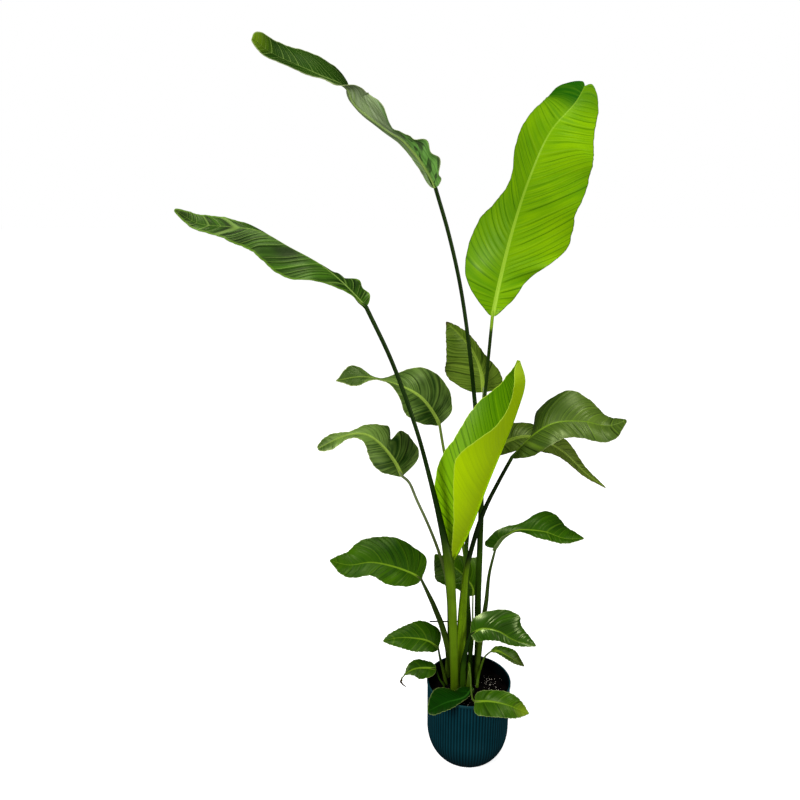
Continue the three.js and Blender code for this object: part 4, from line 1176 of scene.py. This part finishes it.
def paint_creases(look, tone, phase, out, strength):
    """Painted shade in the creases, of differing depth between the veins, with a paler crest beside
    each.
    """
    part = look.math("FRACT", phase)
    number = look.math("FLOOR", phase)
    depth = look.node("ShaderNodeTexWhiteNoise", {"W": number}, noise_dimensions="1D")
    wide = tone["crease_width"]
    crease = look.plus(look.between(part, 0.0, wide, 1.0, 0.0), look.between(part, 0.97, 1.0))
    crease = look.times(crease, look.between(depth, 0.0, 1.0, 0.2, 1.0))
    crease = look.times(crease, look.between(out, 0.05, 0.3))
    crease = look.times(crease, strength)
    look.paint(crease, tone["crease"])
    rise = look.between(part, wide - 0.03, wide + 0.03)
    crest = look.times(rise, look.between(part, wide + 0.03, wide + 0.13, 1.0, 0.0))
    crest = look.times(crest, look.between(out, 0.8, 1.0, 1.0, 0.2))
    look.paint(look.times(crest, tone["lined"]), tone["rib"])


def stalk_look(name, tone):
    """Smooth green stalk, paler by the blade and in the sheath, streaked along its length."""
    look = Look(name, Specular_IOR_Level=0.3, Specular_Tint=(*LEAF_GLOSS, 1))
    share, _ = look.uv("Run")
    length, around = look.uv("Length")
    by_blade, middle, sheath, first, second = tone
    streak = look.noise(look.vector(look.times(length, 0.012), around), 0.55, 4.0, 0.6)
    cloud = look.noise(look.place(), 14.0, 3.0)
    look.base = look.mix(look.between(share, *first), by_blade, middle)
    look.paint(look.between(share, *second), sheath)
    darker = look.node("ShaderNodeHueSaturation", {"Value": 0.45, "Color": look.base})
    look.paint(look.between(look.plus(streak, cloud), 0.75, 1.2, 0.75, 0.0), darker)
    # Painted shade low down, where the stalks crowd together.
    crowded = look.between(look.height(), *SHADED_HEIGHTS, 0.75, 0.0)
    look.paint(crowded, darker)
    speck = look.noise(look.vector(look.times(length, 0.25), around), 0.9, 2.0)
    look.paint(look.between(speck, 0.66, 0.72, 0.0, 0.45), colour(70, 74, 34))
    gloss = look.between(cloud, 0.3, 0.7, 0.36, 0.5)
    normal = look.bump(streak, 0.3, 0.0008)
    return look.finish(gloss, normal)


def pot_look():
    """Matte moulded plastic with ribs lighter by wear and painted highlight, and painted shade in
    grooves.
    """
    look = Look("Pot_Plastic", Specular_IOR_Level=0.1)
    rib, cut = look.uv("Ribs")
    place = look.place()
    wave = look.math("COSINE", look.times(rib, 2 * math.pi))
    crest = look.times(look.between(wave, 0.2, 1.0), cut)
    groove = look.times(look.between(wave, -0.3, -1.0), cut)
    cloud = look.noise(place, 16.0, 4.0)
    look.base = look.mix(look.between(cloud, 0.3, 0.7), colour(0, 39, 45), colour(2, 46, 53))
    # Painted highlight, with some wear, on the rib crests, and painted shade in the grooves.
    look.paint(look.times(crest, 0.6), colour(6, 64, 78))
    look.paint(look.times(groove, 0.75), colour(0, 14, 22))
    look.paint(look.between(look.height(), *LIP_HEIGHTS), colour(14, 54, 60))
    # Painted shade: the inside of the pot near black.
    look.paint(look.between(cut, -0.1, -0.9), colour(0, 5, 6))
    # Painted shade, darker towards the foot.
    look.paint(look.between(look.height(), 0.0, 0.1, 0.7, 0.0), colour(0, 12, 16))
    scuff = look.between(look.noise(place, 120.0, 5.0, 0.7), 0.62, 0.75, 0.0, 0.25)
    look.paint(look.times(scuff, crest), colour(70, 112, 128))
    gloss = look.between(cloud, 0.3, 0.7, 0.42, 0.56)
    normal = look.bump(look.noise(place, 900.0, 2.0), 0.12, 0.0003)
    return look.finish(gloss, normal)


def soil_look():
    look = Look("Potting_Soil", Specular_IOR_Level=0.05)
    place = look.place()
    cloud = look.noise(place, 60.0, 5.0, 0.65)
    look.base = look.mix(look.between(cloud, 0.35, 0.65), colour(3, 2, 2), colour(14, 8, 7))
    fibre = look.noise(place, 300.0, 4.0, 0.7)
    look.paint(look.between(fibre, 0.64, 0.74, 0.0, 0.7), colour(50, 30, 22))
    gloss = look.between(cloud, 0.3, 0.7, 0.85, 1.0)
    normal = look.bump(fibre, 0.8, 0.002)
    return look.finish(gloss, normal)


def perlite_look():
    look = Look("Perlite", Specular_IOR_Level=0.3)
    grain = look.noise(look.place(), 900.0, 3.0)
    look.base = look.mix(look.between(grain, 0.3, 0.7), colour(206, 194, 176), colour(242, 234, 220))
    gloss = look.between(grain, 0.3, 0.7, 0.8, 0.95)
    return look.finish(gloss, look.bump(grain, 0.5, 0.0004))


def rod_look():
    look = Look("Support_Rod", Specular_IOR_Level=0.4)
    length, around = look.uv("Length")
    grain = look.noise(look.vector(look.times(length, 0.05), around), 1.2, 4.0)
    look.base = look.mix(look.between(grain, 0.3, 0.7), colour(14, 17, 16), colour(34, 40, 34))
    gloss = look.between(grain, 0.3, 0.7, 0.42, 0.6)
    return look.finish(gloss, look.bump(grain, 0.2, 0.0003))


def floor_look():
    look = Look("Studio_Floor", Specular_IOR_Level=0.1, Emission_Color=(1, 1, 1, 1),
                Emission_Strength=FLOOR_GLOW)
    grain = look.noise(look.place(), 3.0, 2.0)
    look.base = look.mix(grain, colour(238, 238, 238), colour(244, 244, 244))
    gloss = look.between(grain, 0.3, 0.7, 0.85, 0.95)
    return look.finish(gloss)


def make_floor():
    half = FLOOR_SIZE / 2
    ends = ((-half, -half), (half, -half), (half, half), (-half, half))
    corners = [(x, y, -FLOOR_DROP) for x, y in ends]
    floor = make_mesh("Floor", corners, [[0, 1, 2, 3]], [floor_look()])
    floor.visible_glossy = False
    floor.visible_diffuse = False


def make_light(name, place, size, power):
    light = bpy.data.lights.new(name, "AREA")
    light.shape = "DISK"
    light.size = size * MM
    light.energy = power
    lamp = add_object(name, light)
    lamp.location = Vector(place) * MM
    aim = (Vector(LIGHTS_AIM) - Vector(place)).to_track_quat("-Z", "Y")
    lamp.rotation_euler = aim.to_euler()


def make_air():
    """White all round where it is seen, and dimmer as a light."""
    world = bpy.data.worlds.new("Studio_Air")
    bpy.context.scene.world = world
    world.use_nodes = True
    nodes, links = world.node_tree.nodes, world.node_tree.links

    def white(background, strength):
        background.inputs["Color"].default_value = (1, 1, 1, 1)
        background.inputs["Strength"].default_value = strength
        return background

    air = white(nodes["Background"], AIR_LIGHT)
    rays = nodes.new("ShaderNodeLightPath")
    for ray, strength in (("Is Glossy Ray", AIR_MIRRORED), ("Is Camera Ray", AIR_SEEN)):
        other = white(nodes.new("ShaderNodeBackground"), strength)
        both = nodes.new("ShaderNodeMixShader")
        links.new(rays.outputs[ray], both.inputs[0])
        links.new(air.outputs[0], both.inputs[1])
        links.new(other.outputs[0], both.inputs[2])
        air = both
    links.new(air.outputs[0], nodes["World Output"].inputs["Surface"])


def make_camera():
    data = bpy.data.cameras.new("Camera")
    data.sensor_fit = "HORIZONTAL"
    data.sensor_width = CAMERA_SENSOR
    data.lens = CAMERA_LENS
    camera = add_object("Camera", data)
    camera.location = Vector(CAMERA_PLACE) * MM
    camera.rotation_euler = (math.radians(90 - CAMERA_PITCH), 0, 0)
    bpy.context.scene.camera = camera


def make_studio():
    make_camera()
    make_air()
    make_floor()
    for name, light in LIGHTS.items():
        make_light("Light_" + name, **light)
    bpy.context.scene.view_settings.view_transform = "Standard"


def make_plant():
    blades = {
        name: [blade_look(f"Blade_{name}_{side}", tone, side) for side in ("upper", "under")]
        for name, tone in BLADE_TONES.items()
    }
    stalks = {name: stalk_look("Stalk_" + name, tone) for name, tone in STALK_TONES.items()}
    for leaf in LEAVES:
        make_blade(leaf, *blades[leaf["tone"]])
        make_stalk(leaf, stalks[leaf["stalk_tone"]])
    make_shoot(stalks["pale"])


def make_potted():
    soil = soil_look()
    make_pot(pot_look())
    make_soil(soil)
    make_crumbs(soil, perlite_look())
    make_support(rod_look())


make_studio()
make_potted()
make_plant()
